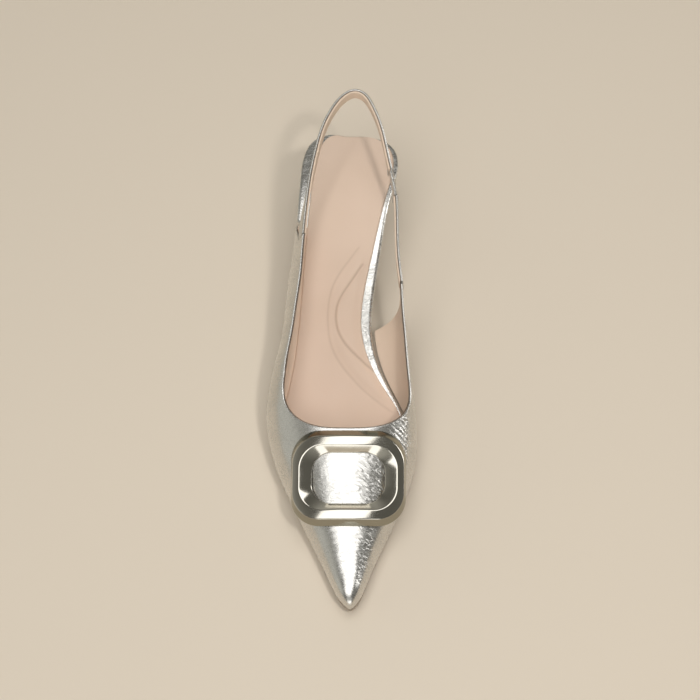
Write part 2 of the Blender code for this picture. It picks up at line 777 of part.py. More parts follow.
def main():
    for old in list(bpy.data.objects):
        bpy.data.objects.remove(old)
    root = bpy.data.objects.new("slingback_shoe", None)
    bpy.context.scene.collection.objects.link(root)
    silver = finish("silver_leather", (0.62, 0.61, 0.58), 0.3, 1.0)
    sock_leather = finish("beige_sock_leather", (0.66, 0.52, 0.37), 0.6)
    sole_leather = finish("sole_leather", (0.42, 0.34, 0.26), 0.55)
    tip_rubber = finish("tip_rubber", (0.12, 0.11, 0.1), 0.7)
    elastic = finish("silver_elastic", (0.58, 0.57, 0.55), 0.4, 0.8)
    metal = finish("polished_buckle", (0.8, 0.76, 0.68), 0.08, 1.0)
    new_object("upper", upper_mesh(), silver, root)
    build_bottom(root, silver, sock_leather, sole_leather)
    build_heel(root, silver, tip_rubber)
    build_strap(root, silver, elastic)
    build_ring(root, metal)


main()
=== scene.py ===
"""Silver slingback shoe for a right foot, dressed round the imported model.

Lengths are millimetres in the shoe's own axes until a mesh is made: across the shoe with the inner side of
the foot positive, station from the toe tip to the seat of the heel, and height above the floor.
"""

import logging
import math
from collections.abc import Callable, Mapping, Sequence
from dataclasses import dataclass, field
from enum import Enum
from typing import ClassVar, NamedTuple

import bmesh
import bpy
import numpy as np
from mathutils import Matrix, Vector


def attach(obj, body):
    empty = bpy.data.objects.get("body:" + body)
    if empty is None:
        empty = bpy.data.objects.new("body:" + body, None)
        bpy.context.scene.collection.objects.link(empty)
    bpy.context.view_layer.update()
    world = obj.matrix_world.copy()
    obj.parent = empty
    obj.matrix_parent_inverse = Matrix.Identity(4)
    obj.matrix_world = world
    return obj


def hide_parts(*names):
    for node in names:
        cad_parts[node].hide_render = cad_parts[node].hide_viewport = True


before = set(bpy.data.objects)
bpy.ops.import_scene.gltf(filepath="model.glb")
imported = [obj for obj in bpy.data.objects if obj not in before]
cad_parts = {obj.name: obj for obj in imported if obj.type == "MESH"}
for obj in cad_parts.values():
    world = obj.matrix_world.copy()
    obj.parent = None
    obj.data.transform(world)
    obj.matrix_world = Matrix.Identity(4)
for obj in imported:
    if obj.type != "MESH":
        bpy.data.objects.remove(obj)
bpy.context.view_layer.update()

Array = np.ndarray
Arrays = tuple[Array, ...]
Node = bpy.types.Node
NodeTree = bpy.types.NodeTree
Socket = bpy.types.NodeSocket
Pair = tuple[float, float]
Triple = tuple[float, float, float]

LOG = logging.getLogger("slingback")
# Metres in a millimetre, and the distance in metres within which two points are one.
MM = 0.001
MERGE = 1.0e-7
# A length or share that is next to nothing.
TINY = 0.001
# The part's origin and the way up, in the shoe's axes.
ORIGIN = np.array([-5.8, 124.6, 0.0])
UPRIGHT = np.array([0.0, 0.0, 1.0])
NOISE_MIDDLE = 0.5
# Degrees past which an edge of sole, heel tip or buckle stays sharp.
SHARP = 40.0


class Side(Enum):
    """The two sides of the foot, with the sign of their across axis."""

    OUTER = -1.0
    INNER = 1.0


class Slot(Enum):
    """The record's material slots."""

    SILVER = "silver_leather"
    SOCK = "beige_sock_leather"
    SOLE = "sole_leather"
    TIP = "tip_rubber"
    ELASTIC = "silver_elastic"
    BUCKLE = "polished_buckle"


class Outline(NamedTuple):
    """Half widths at a station."""

    station: float
    outer: float
    inner: float


class Section(NamedTuple):
    """A section of the last: widest line, crown and fullness on both sides."""

    station: float
    wide_out: float
    wide_in: float
    rise_out: float
    rise_in: float
    crown_out: float
    crown_in: float
    full_out: float
    full_in: float


class PlanPoint(NamedTuple):
    """A point in plan."""

    station: float
    across: float


class Waypoint(NamedTuple):
    """A point of the strap's upper edge."""

    across: float
    station: float
    top: float


class HeelRow(NamedTuple):
    """Front, rear and half width of the heel at a share of its drop."""

    drop: float
    front: float
    rear: float
    half: float


class RingEdge(NamedTuple):
    """An edge of the buckle frame: a rounded rectangle at a level."""

    wide: float
    long: float
    corner: float
    level: float


class CreaseFan(NamedTuple):
    """A fan of soft creases in plan, from its first crease to its last.

    Each crease is given as across and station of one end, then of the other end.
    """

    first: tuple[float, float, float, float]
    last: tuple[float, float, float, float]
    count: int
    bow: float
    depth: float
    width: float


class WrinklePatch(NamedTuple):
    """A wrinkled place in plan: its middle, how far it reaches across and along, and its strength."""

    across: float
    station: float
    wide: float
    long: float
    strength: float


class SlabEnds(NamedTuple):
    """Front and rear station of an outline, and whether its rear closes in a squared round."""

    front: float
    rear: float
    round_rear: bool


FEATHER_LINE = (
    Outline(-2, 2.6, 2.6),
    Outline(12, 8.6, 7.0),
    Outline(25, 14.4, 11.8),
    Outline(40, 21.7, 18.2),
    Outline(58, 30.2, 25.4),
    Outline(72, 36.0, 29.4),
    Outline(85, 39.8, 30.8),
    Outline(98, 41.6, 30.0),
    Outline(110, 41.0, 27.4),
    Outline(122, 38.8, 20.9),
    Outline(135, 36.5, 14.6),
    Outline(148, 34.8, 11.6),
    Outline(165, 33.0, 12.7),
    Outline(180, 31.9, 15.4),
    Outline(196, 30.7, 18.2),
    Outline(212, 29.7, 21.4),
    Outline(226, 28.9, 24.6),
    Outline(252, 27.6, 26.2),
)
SECTIONS = (
    Section(-2, 3.2, 3.2, 3.0, 3.0, 10.6, 10.6, 2.5, 2.5),
    Section(12, 10.2, 8.4, 4.0, 4.0, 14.0, 14.0, 2.6, 2.6),
    Section(25, 16.3, 13.4, 5.0, 5.0, 18.8, 18.8, 2.6, 2.6),
    Section(40, 23.8, 20.2, 6.5, 6.5, 24.0, 24.0, 2.5, 2.55),
    Section(58, 32.6, 27.8, 8.0, 8.5, 29.5, 29.5, 2.35, 2.4),
    Section(72, 38.8, 32.0, 9.5, 10.5, 33.6, 33.6, 2.3, 2.45),
    Section(85, 43.0, 33.6, 10.8, 13.0, 37.2, 37.2, 2.3, 2.6),
    Section(98, 45.2, 33.3, 12.2, 16.0, 42.0, 42.0, 2.4, 2.8),
    Section(110, 44.8, 32.2, 14.0, 20.0, 45.3, 45.3, 2.4, 2.9),
    Section(122, 42.4, 30.6, 15.4, 23.5, 46.4, 46.0, 2.4, 2.9),
    Section(135, 38.8, 29.0, 15.6, 26.5, 44.6, 43.8, 2.4, 2.9),
    Section(148, 36.5, 27.4, 13.6, 27.5, 43.4, 40.0, 2.2, 2.9),
    Section(165, 35.0, 26.2, 8.4, 26.5, 49.0, 36.2, 1.6, 2.9),
    Section(182, 32.6, 25.4, 4.2, 24.0, 64.0, 35.2, 1.35, 2.9),
    Section(200, 30.7, 24.6, 3.0, 22.0, 62.0, 35.0, 1.35, 2.9),
)
RIDGE = (
    PlanPoint(-2, 0.0),
    PlanPoint(40, -0.8),
    PlanPoint(86, -2.2),
    PlanPoint(115, -3.0),
    PlanPoint(200, -3.0),
)
WING_TOPLINE = (
    Outline(115, 43.5, 39.5),
    Outline(138, 51.0, 49.0),
    Outline(163, 61.4, 60.3),
    Outline(190, 75.5, 73.8),
)
SOCK_MARGIN = (
    Outline(0, 0.4, 0.4),
    Outline(90, 0.4, 0.4),
    Outline(115, 2.2, 2.7),
    Outline(137, 3.2, 4.8),
    Outline(158, 3.4, 5.5),
    Outline(188, 4.0, 3.8),
    Outline(218, 4.8, 2.5),
    Outline(252, 6.2, 2.4),
)
ARCH_INNER = (
    PlanPoint(126.0, 16.4),
    PlanPoint(128.9, 11.7),
    PlanPoint(136.5, 1.1),
    PlanPoint(145.8, -7.4),
    PlanPoint(153.1, -9.5),
    PlanPoint(160.3, -8.4),
    PlanPoint(169.3, -2.0),
    PlanPoint(179.5, 6.0),
)
ARCH_OUTER = (
    PlanPoint(107.6, 21.8),
    PlanPoint(110.7, 17.1),
    PlanPoint(117.9, 7.5),
    PlanPoint(126.9, -2.1),
    PlanPoint(139.3, -11.2),
    PlanPoint(148.5, -13.5),
    PlanPoint(159.8, -13.4),
    PlanPoint(171.2, -9.4),
    PlanPoint(179.5, -3.0),
    PlanPoint(187.6, 3.9),
)
STRAP_ROUTE = (
    Waypoint(-22.9, 199.0, 80.4),
    Waypoint(-21.0, 210.0, 87.0),
    Waypoint(-18.2, 221.0, 93.4),
    Waypoint(-14.7, 231.5, 98.4),
    Waypoint(-9.1, 241.6, 102.0),
    Waypoint(-3.4, 247.5, 103.9),
    Waypoint(1.7, 249.3, 104.5),
    Waypoint(6.3, 247.5, 104.0),
    Waypoint(10.2, 242.3, 102.4),
    Waypoint(13.2, 236.4, 100.0),
    Waypoint(16.4, 227.4, 95.2),
    Waypoint(19.0, 217.0, 89.6),
    Waypoint(22.2, 204.0, 81.8),
    Waypoint(23.2, 190.0, 73.8),
    Waypoint(23.9, 173.0, 65.0),
)
HEEL_TABLE = (
    HeelRow(0.0, 206.0, 250.5, 26.0),
    HeelRow(0.12, 212.0, 248.0, 21.5),
    HeelRow(0.25, 217.5, 245.6, 16.6),
    HeelRow(0.45, 223.0, 242.4, 11.2),
    HeelRow(0.7, 226.5, 240.2, 7.6),
    HeelRow(1.0, 228.5, 239.5, 5.6),
)
RING_EDGES = (
    RingEdge(59.4, 49.6, 15.0, 0.0),
    RingEdge(57.4, 42.4, 14.0, 4.2),
    RingEdge(50.4, 33.4, 12.0, 4.2),
    RingEdge(37.5, 26.2, 10.0, 0.9),
    RingEdge(37.5, 26.2, 10.0, 0.0),
)
VAMP_CREASES = (
    CreaseFan((3.0, 75.0, 17.5, 66.0), (2.5, 54.0, 16.0, 45.5), 9, 0.9, 0.14, 0.7),
    CreaseFan((-18.5, 70.0, -15.0, 54.0), (-11.5, 72.0, -9.5, 56.0), 4, 0.7, 0.012, 0.8),
    CreaseFan((3.0, 40.0, 14.5, 36.0), (1.0, 12.0, 5.5, 9.0), 14, 0.6, 0.085, 0.5),
    CreaseFan((-5.5, 38.0, -15.0, 35.5), (-2.5, 14.0, -6.5, 12.0), 9, -0.5, 0.035, 0.55),
    CreaseFan((20.5, 98.0, 31.5, 92.0), (23.5, 74.0, 31.5, 65.0), 10, 0.8, 0.11, 0.65),
    CreaseFan((-24.0, 99.0, -34.5, 95.0), (-26.0, 84.0, -35.0, 78.0), 5, -0.6, 0.035, 0.9),
)
VAMP_WRINKLES = (
    WrinklePatch(11.0, 60.0, 8.0, 14.0, 1.0),
    WrinklePatch(8.5, 31.0, 4.5, 11.0, 0.65),
    WrinklePatch(4.5, 16.0, 3.0, 7.0, 0.45),
    WrinklePatch(28.0, 84.0, 7.0, 15.0, 0.5),
    WrinklePatch(-16.0, 55.0, 3.5, 8.0, 0.18),
)


def to_world(points: Array) -> Array:
    """Shoe millimetres to metres in the part's frame."""
    return (np.asarray(points, float) - ORIGIN) * MM


def eased(share: Array) -> Array:
    """A step from 0 to 1 that starts and ends level: 10 t^3 - 15 t^4 + 6 t^5."""
    share = np.clip(share, 0.0, 1.0)
    return share**3 * (10.0 - 15.0 * share + 6.0 * share**2)


def within(value: Array, span: Pair, ease: Pair) -> Array:
    """1 inside a span, eased to 0 over a length at each of its ends."""
    return eased((value - span[0]) / ease[0]) * eased((span[1] - value) / ease[1])


def hill(value: Array) -> Array:
    """A Gaussian hill: 1 at 0, and one over e at 1 on either side."""
    return np.exp(-(value**2))


def parabola(first: Array, control: Array, last: Array, t: Array) -> Array:
    """A parabola from a first point to a last one, which leaves and arrives in line with a control point."""
    return first * (1.0 - t) ** 2 + control * 2.0 * t * (1.0 - t) + last * t**2


def crowded(front: float, rear: float, count: int) -> Array:
    """Places that crowd towards both ends: a half turn at even steps, seen from its side."""
    return front + (rear - front) * 0.5 * (1.0 - np.cos(np.linspace(0.0, math.pi, count)))


def circle(count: int) -> Array:
    """Angles of points at even steps round a circle."""
    return np.linspace(0.0, 2.0 * math.pi, count + 1)[:-1]


def round_trip(out: Array, back: Array) -> Array:
    """One line of values forwards, then another one backwards."""
    return np.concatenate([out, back[::-1]])


def unit(vectors: Array) -> Array:
    """Vectors along the last axis, scaled to length one."""
    return vectors / np.maximum(np.linalg.norm(vectors, axis=-1, keepdims=True), 1.0e-9)


def arcs(lines: Array) -> Array:
    """Arc length from the start of each line of points, which run along the second last axis."""
    steps = np.linalg.norm(np.diff(lines, axis=-2), axis=-1)
    return np.concatenate([np.zeros_like(steps[..., :1]), np.cumsum(steps, axis=-1)], axis=-1)


def resample(lines: Array, start: Array, end: Array, shares: Array) -> Array:
    """Points at shares of the way between two arc positions on each of many lines.

    All lines are laid behind each other on one axis, so one linear interpolation serves them all.

    Args:
        lines: points of every line, as (line, point, 3).
        start: arc position where each line's share 0 lies.
        end: arc position where each line's share 1 lies.
        shares: shares to read, the same for every line.

    Returns:
        The points as (line, share, 3).
    """
    lengths = arcs(lines)
    offset = np.arange(len(lines))[:, None] * (lengths.max() + 1.0)
    wanted = offset + start[:, None] + (end - start)[:, None] * shares[None]
    places = (lengths + offset).ravel()
    return np.stack([np.interp(wanted, places, lines[..., k].ravel()) for k in range(3)], axis=-1)


class Spline:
    """Natural cubic spline through table values, which holds its end values beyond its ends.

    Between two knots it is the cubic whose bend runs straight from one knot's bend to the next one's.
    """

    def __init__(self, places: Sequence[float], values: Sequence[float]) -> None:
        """Solves the bends at the knots.

        Args:
            places: knots in rising order.
            values: values at the knots.
        """
        self.places = np.asarray(places, float)
        self.values = np.asarray(values, float)
        self.gaps = np.diff(self.places)
        steps = np.diff(np.diff(self.values) / self.gaps)
        matrix = np.diag(2.0 * (self.gaps[:-1] + self.gaps[1:]))
        matrix += np.diag(self.gaps[1:-1], 1) + np.diag(self.gaps[1:-1], -1)
        self.bend = np.zeros(len(self.places))
        self.bend[1:-1] = np.linalg.solve(matrix, 6.0 * steps)

    def __call__(self, at: Array) -> Array:
        """Values of the spline.

        Args:
            at: places to read it at.

        Returns:
            The values, in the same shape.
        """
        at = np.clip(np.asarray(at, float), self.places[0], self.places[-1])
        k = np.clip(np.searchsorted(self.places, at, side="right") - 1, 0, len(self.gaps) - 1)
        gap = self.gaps[k]
        left = at - self.places[k]
        right = self.places[k + 1] - at
        cubic = (self.bend[k] * right**3 + self.bend[k + 1] * left**3) / (6.0 * gap)
        from_left = (self.values[k] / gap - self.bend[k] * gap / 6.0) * right
        from_right = (self.values[k + 1] / gap - self.bend[k + 1] * gap / 6.0) * left
        return cubic + from_left + from_right


def column(rows: Sequence[NamedTuple], name: str, key: str = "station") -> Spline:
    """One column of a table as a spline over its key column."""
    return Spline([getattr(row, key) for row in rows], [getattr(row, name) for row in rows])


def both_sides(rows: Sequence[NamedTuple], outer: str, inner: str) -> dict[Side, Spline]:
    """The columns of a table for the two sides of the foot, as splines."""
    return {Side.OUTER: column(rows, outer), Side.INNER: column(rows, inner)}


@dataclass(frozen=True)
class Ripple:
    """Random waviness: the sum of plane waves of one length range and random direction and phase."""

    wavelength: float
    seed: int
    height: float = 1.0
    waves: int = 36
    spread: float = 0.45

    def at(self, points: Array) -> Array:
        """Height of the waves.

        Args:
            points: points as (..., 3).

        Returns:
            One value a point, about from minus to plus the ripple's height.
        """
        rng = np.random.default_rng(self.seed)
        heading = unit(rng.normal(size=(self.waves, 3)))
        length = self.wavelength * np.exp(rng.uniform(-self.spread, self.spread, self.waves))
        phase = rng.uniform(0.0, 2.0 * math.pi, self.waves)
        turns = points @ (heading * (2.0 * math.pi / length)[:, None]).T + phase
        return self.height * np.cos(turns).sum(axis=-1) / math.sqrt(2.0 * self.waves)


class Graph:
    """Short hand for filling a node tree."""

    def __init__(self, tree: NodeTree) -> None:
        """Keeps the tree to fill."""
        self.tree = tree

    def feed(self, node: Node, inputs: Mapping) -> None:
        """Fills inputs of a node.

        Args:
            node: the node.
            inputs: socket name or number to a plain value, or to the socket that feeds it.
        """
        for name, value in inputs.items():
            if isinstance(value, Socket):
                self.tree.links.new(value, node.inputs[name])
            else:
                node.inputs[name].default_value = value

    def add(self, kind: str, inputs: Mapping | None = None, **settings: object) -> Node:
        """Adds a node.

        Args:
            kind: the node's type.
            inputs: socket name or number to a plain value, or to the socket that feeds it.
            settings: properties of the node.

        Returns:
            The node.
        """
        made = self.tree.nodes.new(kind)
        for name, value in settings.items():
            setattr(made, name, value)
        self.feed(made, inputs or {})
        return made

    def math(self, operation: str, *values: object) -> Socket:
        """The result of a Math node on plain values or sockets."""
        return self.add("ShaderNodeMath", dict(enumerate(values)), operation=operation).outputs[0]

    def scaled(self, value: Socket, factor: object) -> Socket:
        """A value times a factor."""
        return self.math("MULTIPLY", value, factor)

    def vector_math(self, operation: str, inputs: Mapping) -> Socket:
        """The result of a Vector Math node."""
        return self.add("ShaderNodeVectorMath", inputs, operation=operation).outputs[0]

    def mask(self, name: str) -> Socket:
        """A mask that the mesh carries."""
        return self.add("ShaderNodeAttribute", attribute_name=name).outputs["Fac"]

    def noise_node(self, vector: Socket, scale: object, detail: float) -> Node:
        """A noise texture over a vector."""
        return self.add("ShaderNodeTexNoise", {"Vector": vector, "Scale": scale, "Detail": detail})

    def noise(self, vector: Socket, scale: object, detail: float = 2.0) -> Socket:
        """A noise over a vector, from 0 to 1."""
        return self.noise_node(vector, scale, detail).outputs[0]

    def off_middle(self, noise: Socket) -> Socket:
        """How far a noise is from its middle value."""
        return self.math("ABSOLUTE", self.math("SUBTRACT", noise, NOISE_MIDDLE))

    def ramp(self, value: Socket, span: Pair, ends: Pair = (0.0, 1.0)) -> Socket:
        """A smooth step over a span of a value.

        Args:
            value: the value.
            span: where the step starts and ends.
            ends: the results before and after it.

        Returns:
            The step.
        """
        limits = zip(("From Min", "From Max", "To Min", "To Max"), (*span, *ends))
        inputs = {"Value": value, **dict(limits)}
        return self.add("ShaderNodeMapRange", inputs, interpolation_type="SMOOTHSTEP").outputs["Result"]

    def mix(self, share: object, first: object, second: object) -> Socket:
        """A colour between two, each a socket or three numbers: a Mix node's sockets 6 and 7, out at 2."""
        first, second = (value if isinstance(value, Socket) else (*value, 1.0) for value in (first, second))
        return self.add("ShaderNodeMix", {0: share, 6: first, 7: second}, data_type="RGBA").outputs[2]

    def bump(self, height: Socket, strength: float, depth: float, under: Socket | None = None) -> Socket:
        """A bump from a height.

        Args:
            height: the height.
            strength: strength of the bump.
            depth: what a height of 1 stands for, in metres.
            under: normal of the bump that this one lies on, if any.

        Returns:
            The normal.
        """
        inputs = {"Height": height, "Strength": strength, "Distance": depth}
        if under is not None:
            inputs["Normal"] = under
        return self.add("ShaderNodeBump", inputs).outputs[0]


class Effect:
    """A shader node group that finishes share, with Vector and Scale in. It is made on its first use."""

    name: str
    outputs: tuple[str, ...]
    made: ClassVar[dict[str, NodeTree]] = {}

    def on(self, graph: Graph, vector: Socket, scale: float) -> Mapping[str, Socket]:
        """Places the group in a material.

        Args:
            graph: the material's graph.
            vector: where the effect is read.
            scale: its scale.

        Returns:
            The group's outputs.
        """
        if self.name not in Effect.made:
            Effect.made[self.name] = self.build()
        inputs = {"Vector": vector, "Scale": scale}
        return graph.add("ShaderNodeGroup", inputs, node_tree=Effect.made[self.name]).outputs

    def build(self) -> NodeTree:
        """Makes the group's sockets and nodes.

        Returns:
            The group.
        """
        tree = bpy.data.node_groups.new(self.name, "ShaderNodeTree")
        sockets = [("Vector", "INPUT", "NodeSocketVector"), ("Scale", "INPUT", "NodeSocketFloat")]
        sockets += [(label, "OUTPUT", "NodeSocketFloat") for label in self.outputs]
        for label, direction, kind in sockets:
            tree.interface.new_socket(label, in_out=direction, socket_type=kind)
        graph = Graph(tree)
        given = graph.add("NodeGroupInput").outputs
        graph.feed(graph.add("NodeGroupOutput"), self.values(graph, given["Vector"], given["Scale"]))
        return tree

    def values(self, graph: Graph, vector: Socket, scale: Socket) -> dict[str, Socket]:
        """Fills the group with its own nodes.

        Args:
            graph: the group's graph.
            vector: the group's vector.
            scale: the group's scale.

        Returns:
            What feeds each output, by name.
        """
        raise NotImplementedError


@dataclass(frozen=True)
class FoilCrinkle(Effect):
    """Crumpled foil leather: thin branching folds where warped noise crosses its middle value.

    Two sizes of fold are cut into a low swell. A slow noise leaves some of the leather smooth.
    Height falls along the folds, and Fold is 1 on them.
    """

    name: str = "crinkle_folds"
    outputs: tuple[str, ...] = ("Height", "Fold")
    wander_scale: float = 0.4
    wander_detail: float = 3.0
    wander_reach: float = 1.7
    broad_width: float = 0.055
    fine_scale: float = 2.3
    fine_width: float = 0.05
    fine_part: float = 0.45
    slow_scale: float = 0.13
    slow_detail: float = 1.0
    slow_span: Pair = (0.38, 0.6)
    least_folds: float = 0.25
    swell: float = 1.3
    cut: float = 0.55

    def values(self, graph: Graph, vector: Socket, scale: Socket) -> dict[str, Socket]:
        """Folds of both sizes on a swell, read where a first noise has moved the vector."""
        wander = graph.noise_node(vector, graph.scaled(scale, self.wander_scale), self.wander_detail)
        centred = graph.vector_math("SUBTRACT", {0: wander.outputs["Color"], 1: (NOISE_MIDDLE,) * 3})
        reach = graph.math("DIVIDE", self.wander_reach, scale)
        moved = graph.vector_math("SCALE", {0: centred, "Scale": reach})
        place = graph.vector_math("ADD", {0: vector, 1: moved})
        broad = graph.noise(place, scale)
        fine = graph.noise(place, graph.scaled(scale, self.fine_scale))
        broad_fold = graph.ramp(graph.off_middle(broad), (0.0, self.broad_width), (1.0, 0.0))
        fine_fold = graph.ramp(graph.off_middle(fine), (0.0, self.fine_width), (1.0, 0.0))
        slow = graph.noise(vector, graph.scaled(scale, self.slow_scale), self.slow_detail)
        presence = graph.ramp(slow, self.slow_span, (self.least_folds, 1.0))
        both = graph.math("ADD", broad_fold, graph.scaled(fine_fold, self.fine_part))
        fold = graph.scaled(both, presence)
        swell = graph.scaled(graph.math("SUBTRACT", broad, NOISE_MIDDLE), self.swell)
        return {"Height": graph.math("SUBTRACT", swell, graph.scaled(fold, self.cut)), "Fold": fold}


@dataclass(frozen=True)
class LeatherGrain(Effect):
    """Fine leather grain: pebbles from cell distance over a soft noise, with a slow change of tone."""

    name: str = "leather_grain"
    outputs: tuple[str, ...] = ("Height", "Tone")
    soft_scale: float = 0.5
    soft_detail: float = 3.0
    soft_part: float = 0.6
    pebble_part: float = 0.6
    slow_scale: float = 0.014
    tone_span: Pair = (0.3, 0.7)

    def values(self, graph: Graph, vector: Socket, scale: Socket) -> dict[str, Socket]:
        """Pebbles, soft noise and tone."""
        cells = graph.add("ShaderNodeTexVoronoi", {"Vector": vector, "Scale": scale}).outputs["Distance"]
        pebble = graph.scaled(graph.math("SUBTRACT", 1.0, cells), self.pebble_part)
        soft = graph.noise(vector, graph.scaled(scale, self.soft_scale), self.soft_detail)
        slow = graph.noise(vector, graph.scaled(scale, self.slow_scale))
        height = graph.math("ADD", pebble, graph.scaled(soft, self.soft_part))
        return {"Height": height, "Tone": graph.ramp(slow, self.tone_span)}


FOIL_CRINKLE = FoilCrinkle()
LEATHER_GRAIN = LeatherGrain()


def dimmed(colour: Triple, share: float) -> Triple:
    """A share of a colour."""
    return tuple(share * part for part in colour)


class Finish:
    """A material whose nodes are made when it is first asked for."""

    name: str
    made: ClassVar[dict[str, bpy.types.Material]] = {}

    def material(self) -> bpy.types.Material:
        """Makes the finish's material on its first use.

        Returns:
            The material.
        """
        if self.name not in Finish.made:
            made = bpy.data.materials.new(self.name)
            made.use_nodes = True
            graph = Graph(made.node_tree)
            place = graph.add("ShaderNodeTexCoord").outputs["Object"]
            graph.feed(made.node_tree.nodes["Principled BSDF"], self.look(graph, place))
            Finish.made[self.name] = made
        return Finish.made[self.name]

    def look(self, graph: Graph, place: Socket) -> dict[str, object]:
        """Adds the finish's own nodes.

        Args:
            graph: the material's graph.
            place: object coordinates.

        Returns:
            The shader's inputs by name, each a plain value or the socket that feeds it.
        """
        raise NotImplementedError


@dataclass(frozen=True)
class CrinkledSilver(Finish):
    """Metallic foil leather with fine folds, a little duller in the folds, where painted shade also darkens
    the colour.
    """

    name: str = "crinkled_silver"
    colour: Triple = (0.67, 0.66, 0.635)
    fold_shade_colour: Triple = (0.56, 0.55, 0.53)
    fold_shade_tone: float = 0.7
    roughness: Pair = (0.27, 0.38)
    coat: float = 0.15
    coat_roughness: float = 0.12
    scale: float = 560.0
    turn: float = 0.2
    stretch: Triple = (0.6, 1.5, 1.0)
    fold_depth: float = 0.0001
    fold_strength: float = 0.17
    grain_scale: float = 1700.0
    grain_depth: float = 0.00002
    grain_strength: float = 0.35
    has_wrinkles: bool = False
    wrinkle_turn: float = -0.58
    wrinkle_stretch: float = 7.0
    wrinkle_scale: float = 400.0
    wrinkle_detail: float = 1.5
    wrinkle_width: float = 0.09
    wrinkle_swell: float = 2.5
    wrinkle_depth: float = 0.00017

    def look(self, graph: Graph, place: Socket) -> dict[str, object]:
        """Folds and grain as bump, with roughness that follows the folds and painted shade that darkens the
        colour in them.
        """
        inputs = {"Vector": place, "Rotation": (0.0, 0.0, self.turn), "Scale": self.stretch}
        turned = graph.add("ShaderNodeMapping", inputs).outputs[0]
        folds = FOIL_CRINKLE.on(graph, turned, self.scale)
        grain = LEATHER_GRAIN.on(graph, place, self.grain_scale)
        normal = graph.bump(folds["Height"], self.fold_strength, self.fold_depth)
        fold = folds["Fold"]
        if self.has_wrinkles:
            normal, fold = self.wrinkles(graph, place, normal, fold)
        return {
            # Painted shade: the colour darkens towards the fold shade colour in folds and wrinkles.
            "Base Color": graph.mix(graph.scaled(fold, self.fold_shade_tone), self.colour, self.fold_shade_colour),
            "Metallic": 1.0,
            "Roughness": graph.ramp(fold, (0.0, 1.0), self.roughness),
            "Coat Weight": self.coat,
            "Coat Roughness": self.coat_roughness,
            "Normal": graph.bump(grain["Height"], self.grain_strength, self.grain_depth, normal),
        }

    def wrinkles(self, graph: Graph, place: Socket, normal: Socket, fold: Socket) -> tuple[Socket, Socket]:
        """Long thin wrinkles where a drawn-out noise crosses its middle value, if the mesh asks for them.

        Args:
            graph: the material's graph.
            place: object coordinates.
            normal: the folds' normal.
            fold: the folds' own mask.

        Returns:
            The normal with both, and the larger of the two masks.
        """
        wanted = graph.mask("wrinkle")
        inputs = {
            "Vector": place,
            "Rotation": (0.0, 0.0, self.wrinkle_turn),
            "Scale": (self.wrinkle_stretch, 1.0, 1.0),
        }
        drawn = graph.add("ShaderNodeMapping", inputs, vector_type="TEXTURE").outputs[0]
        uneven = graph.noise(drawn, self.wrinkle_scale, self.wrinkle_detail)
        line = graph.ramp(graph.off_middle(uneven), (0.0, self.wrinkle_width), (1.0, 0.0))
        line = graph.scaled(line, wanted)
        swell = graph.scaled(graph.scaled(uneven, self.wrinkle_swell), wanted)
        normal = graph.bump(graph.math("SUBTRACT", swell, line), 1.0, self.wrinkle_depth, normal)
        return normal, graph.math("MAXIMUM", fold, line)


@dataclass(frozen=True)
class SmoothLeather(Finish):
    """Matte leather with pores and a soft change of tone. A mask on the mesh darkens pressed lines."""

    name: str
    light: Triple = (0.735, 0.572, 0.458)
    dark: Triple = (0.685, 0.527, 0.415)
    groove: Triple = (0.42, 0.3, 0.22)
    groove_tone: float = 0.75
    has_grooves: bool = False
    roughness: Pair = (0.48, 0.62)
    sheen: float = 0.08
    grain_scale: float = 1500.0
    grain_span: Pair = (0.3, 0.9)
    grain_depth: float = 0.00005
    grain_strength: float = 0.5

    def look(self, graph: Graph, place: Socket) -> dict[str, object]:
        """Grain as bump, two tones, and darker grooves where the mesh marks them."""
        grain = LEATHER_GRAIN.on(graph, place, self.grain_scale)
        tone = graph.mix(grain["Tone"], self.light, self.dark)
        if self.has_grooves:
            tone = graph.mix(graph.scaled(graph.mask("groove"), self.groove_tone), tone, self.groove)
        return {
            "Base Color": tone,
            "Roughness": graph.ramp(grain["Height"], self.grain_span, self.roughness),
            "Sheen Weight": self.sheen,
            "Normal": graph.bump(grain["Height"], self.grain_strength, self.grain_depth),
        }


@dataclass(frozen=True)
class PolishedMetal(Finish):
    """Mirror polished pale gold plate with a breath of haze, and painted shade that darkens the outer wall.
    """

    name: str
    colour: Triple = (0.57, 0.545, 0.485)
    wall_shade_colour: Triple = (0.34, 0.325, 0.265)
    haze_dim: float = 0.95
    haze_scale: float = 90.0
    haze_detail: float = 3.0
    haze_span: Pair = (0.3, 0.7)
    roughness: Pair = (0.1, 0.15)
    wave_scale: float = 260.0
    wave_detail: float = 1.0
    wave_depth: float = 0.00008
    wave_strength: float = 0.12

    def look(self, graph: Graph, place: Socket) -> dict[str, object]:
        """Slow haze in the roughness and the faintest polish waves. A mask on the mesh marks the outer wall
        for painted shade.
        """
        haze = graph.noise(place, self.haze_scale, self.haze_detail)
        waves = graph.noise(place, self.wave_scale, self.wave_detail)
        tone = graph.mix(haze, self.colour, dimmed(self.colour, self.haze_dim))
        return {
            # Painted shade: the outer wall's colour is darkened towards the wall shade colour.
            "Base Color": graph.mix(graph.mask("wall"), tone, self.wall_shade_colour),
            "Metallic": 1.0,
            "Roughness": graph.ramp(haze, self.haze_span, self.roughness),
            "Normal": graph.bump(waves, self.wave_strength, self.wave_depth),
        }


@dataclass(frozen=True)
class PlainCoat(Finish):
    """Edge paint, thread or rubber: one tone with fine speckle and grain."""

    name: str
    colour: Triple
    roughness: float
    speckle: float = 0.18
    scale: float = 900.0
    depth: float = 0.00004
    strength: float = 0.4

    def look(self, graph: Graph, place: Socket) -> dict[str, object]:
        """Speckled colour and a grain bump."""
        grain = LEATHER_GRAIN.on(graph, place, self.scale)["Height"]
        return {
            "Base Color": graph.mix(grain, dimmed(self.colour, 1.0 - self.speckle), self.colour),
            "Roughness": self.roughness,
            "Normal": graph.bump(grain, self.strength, self.depth),
        }


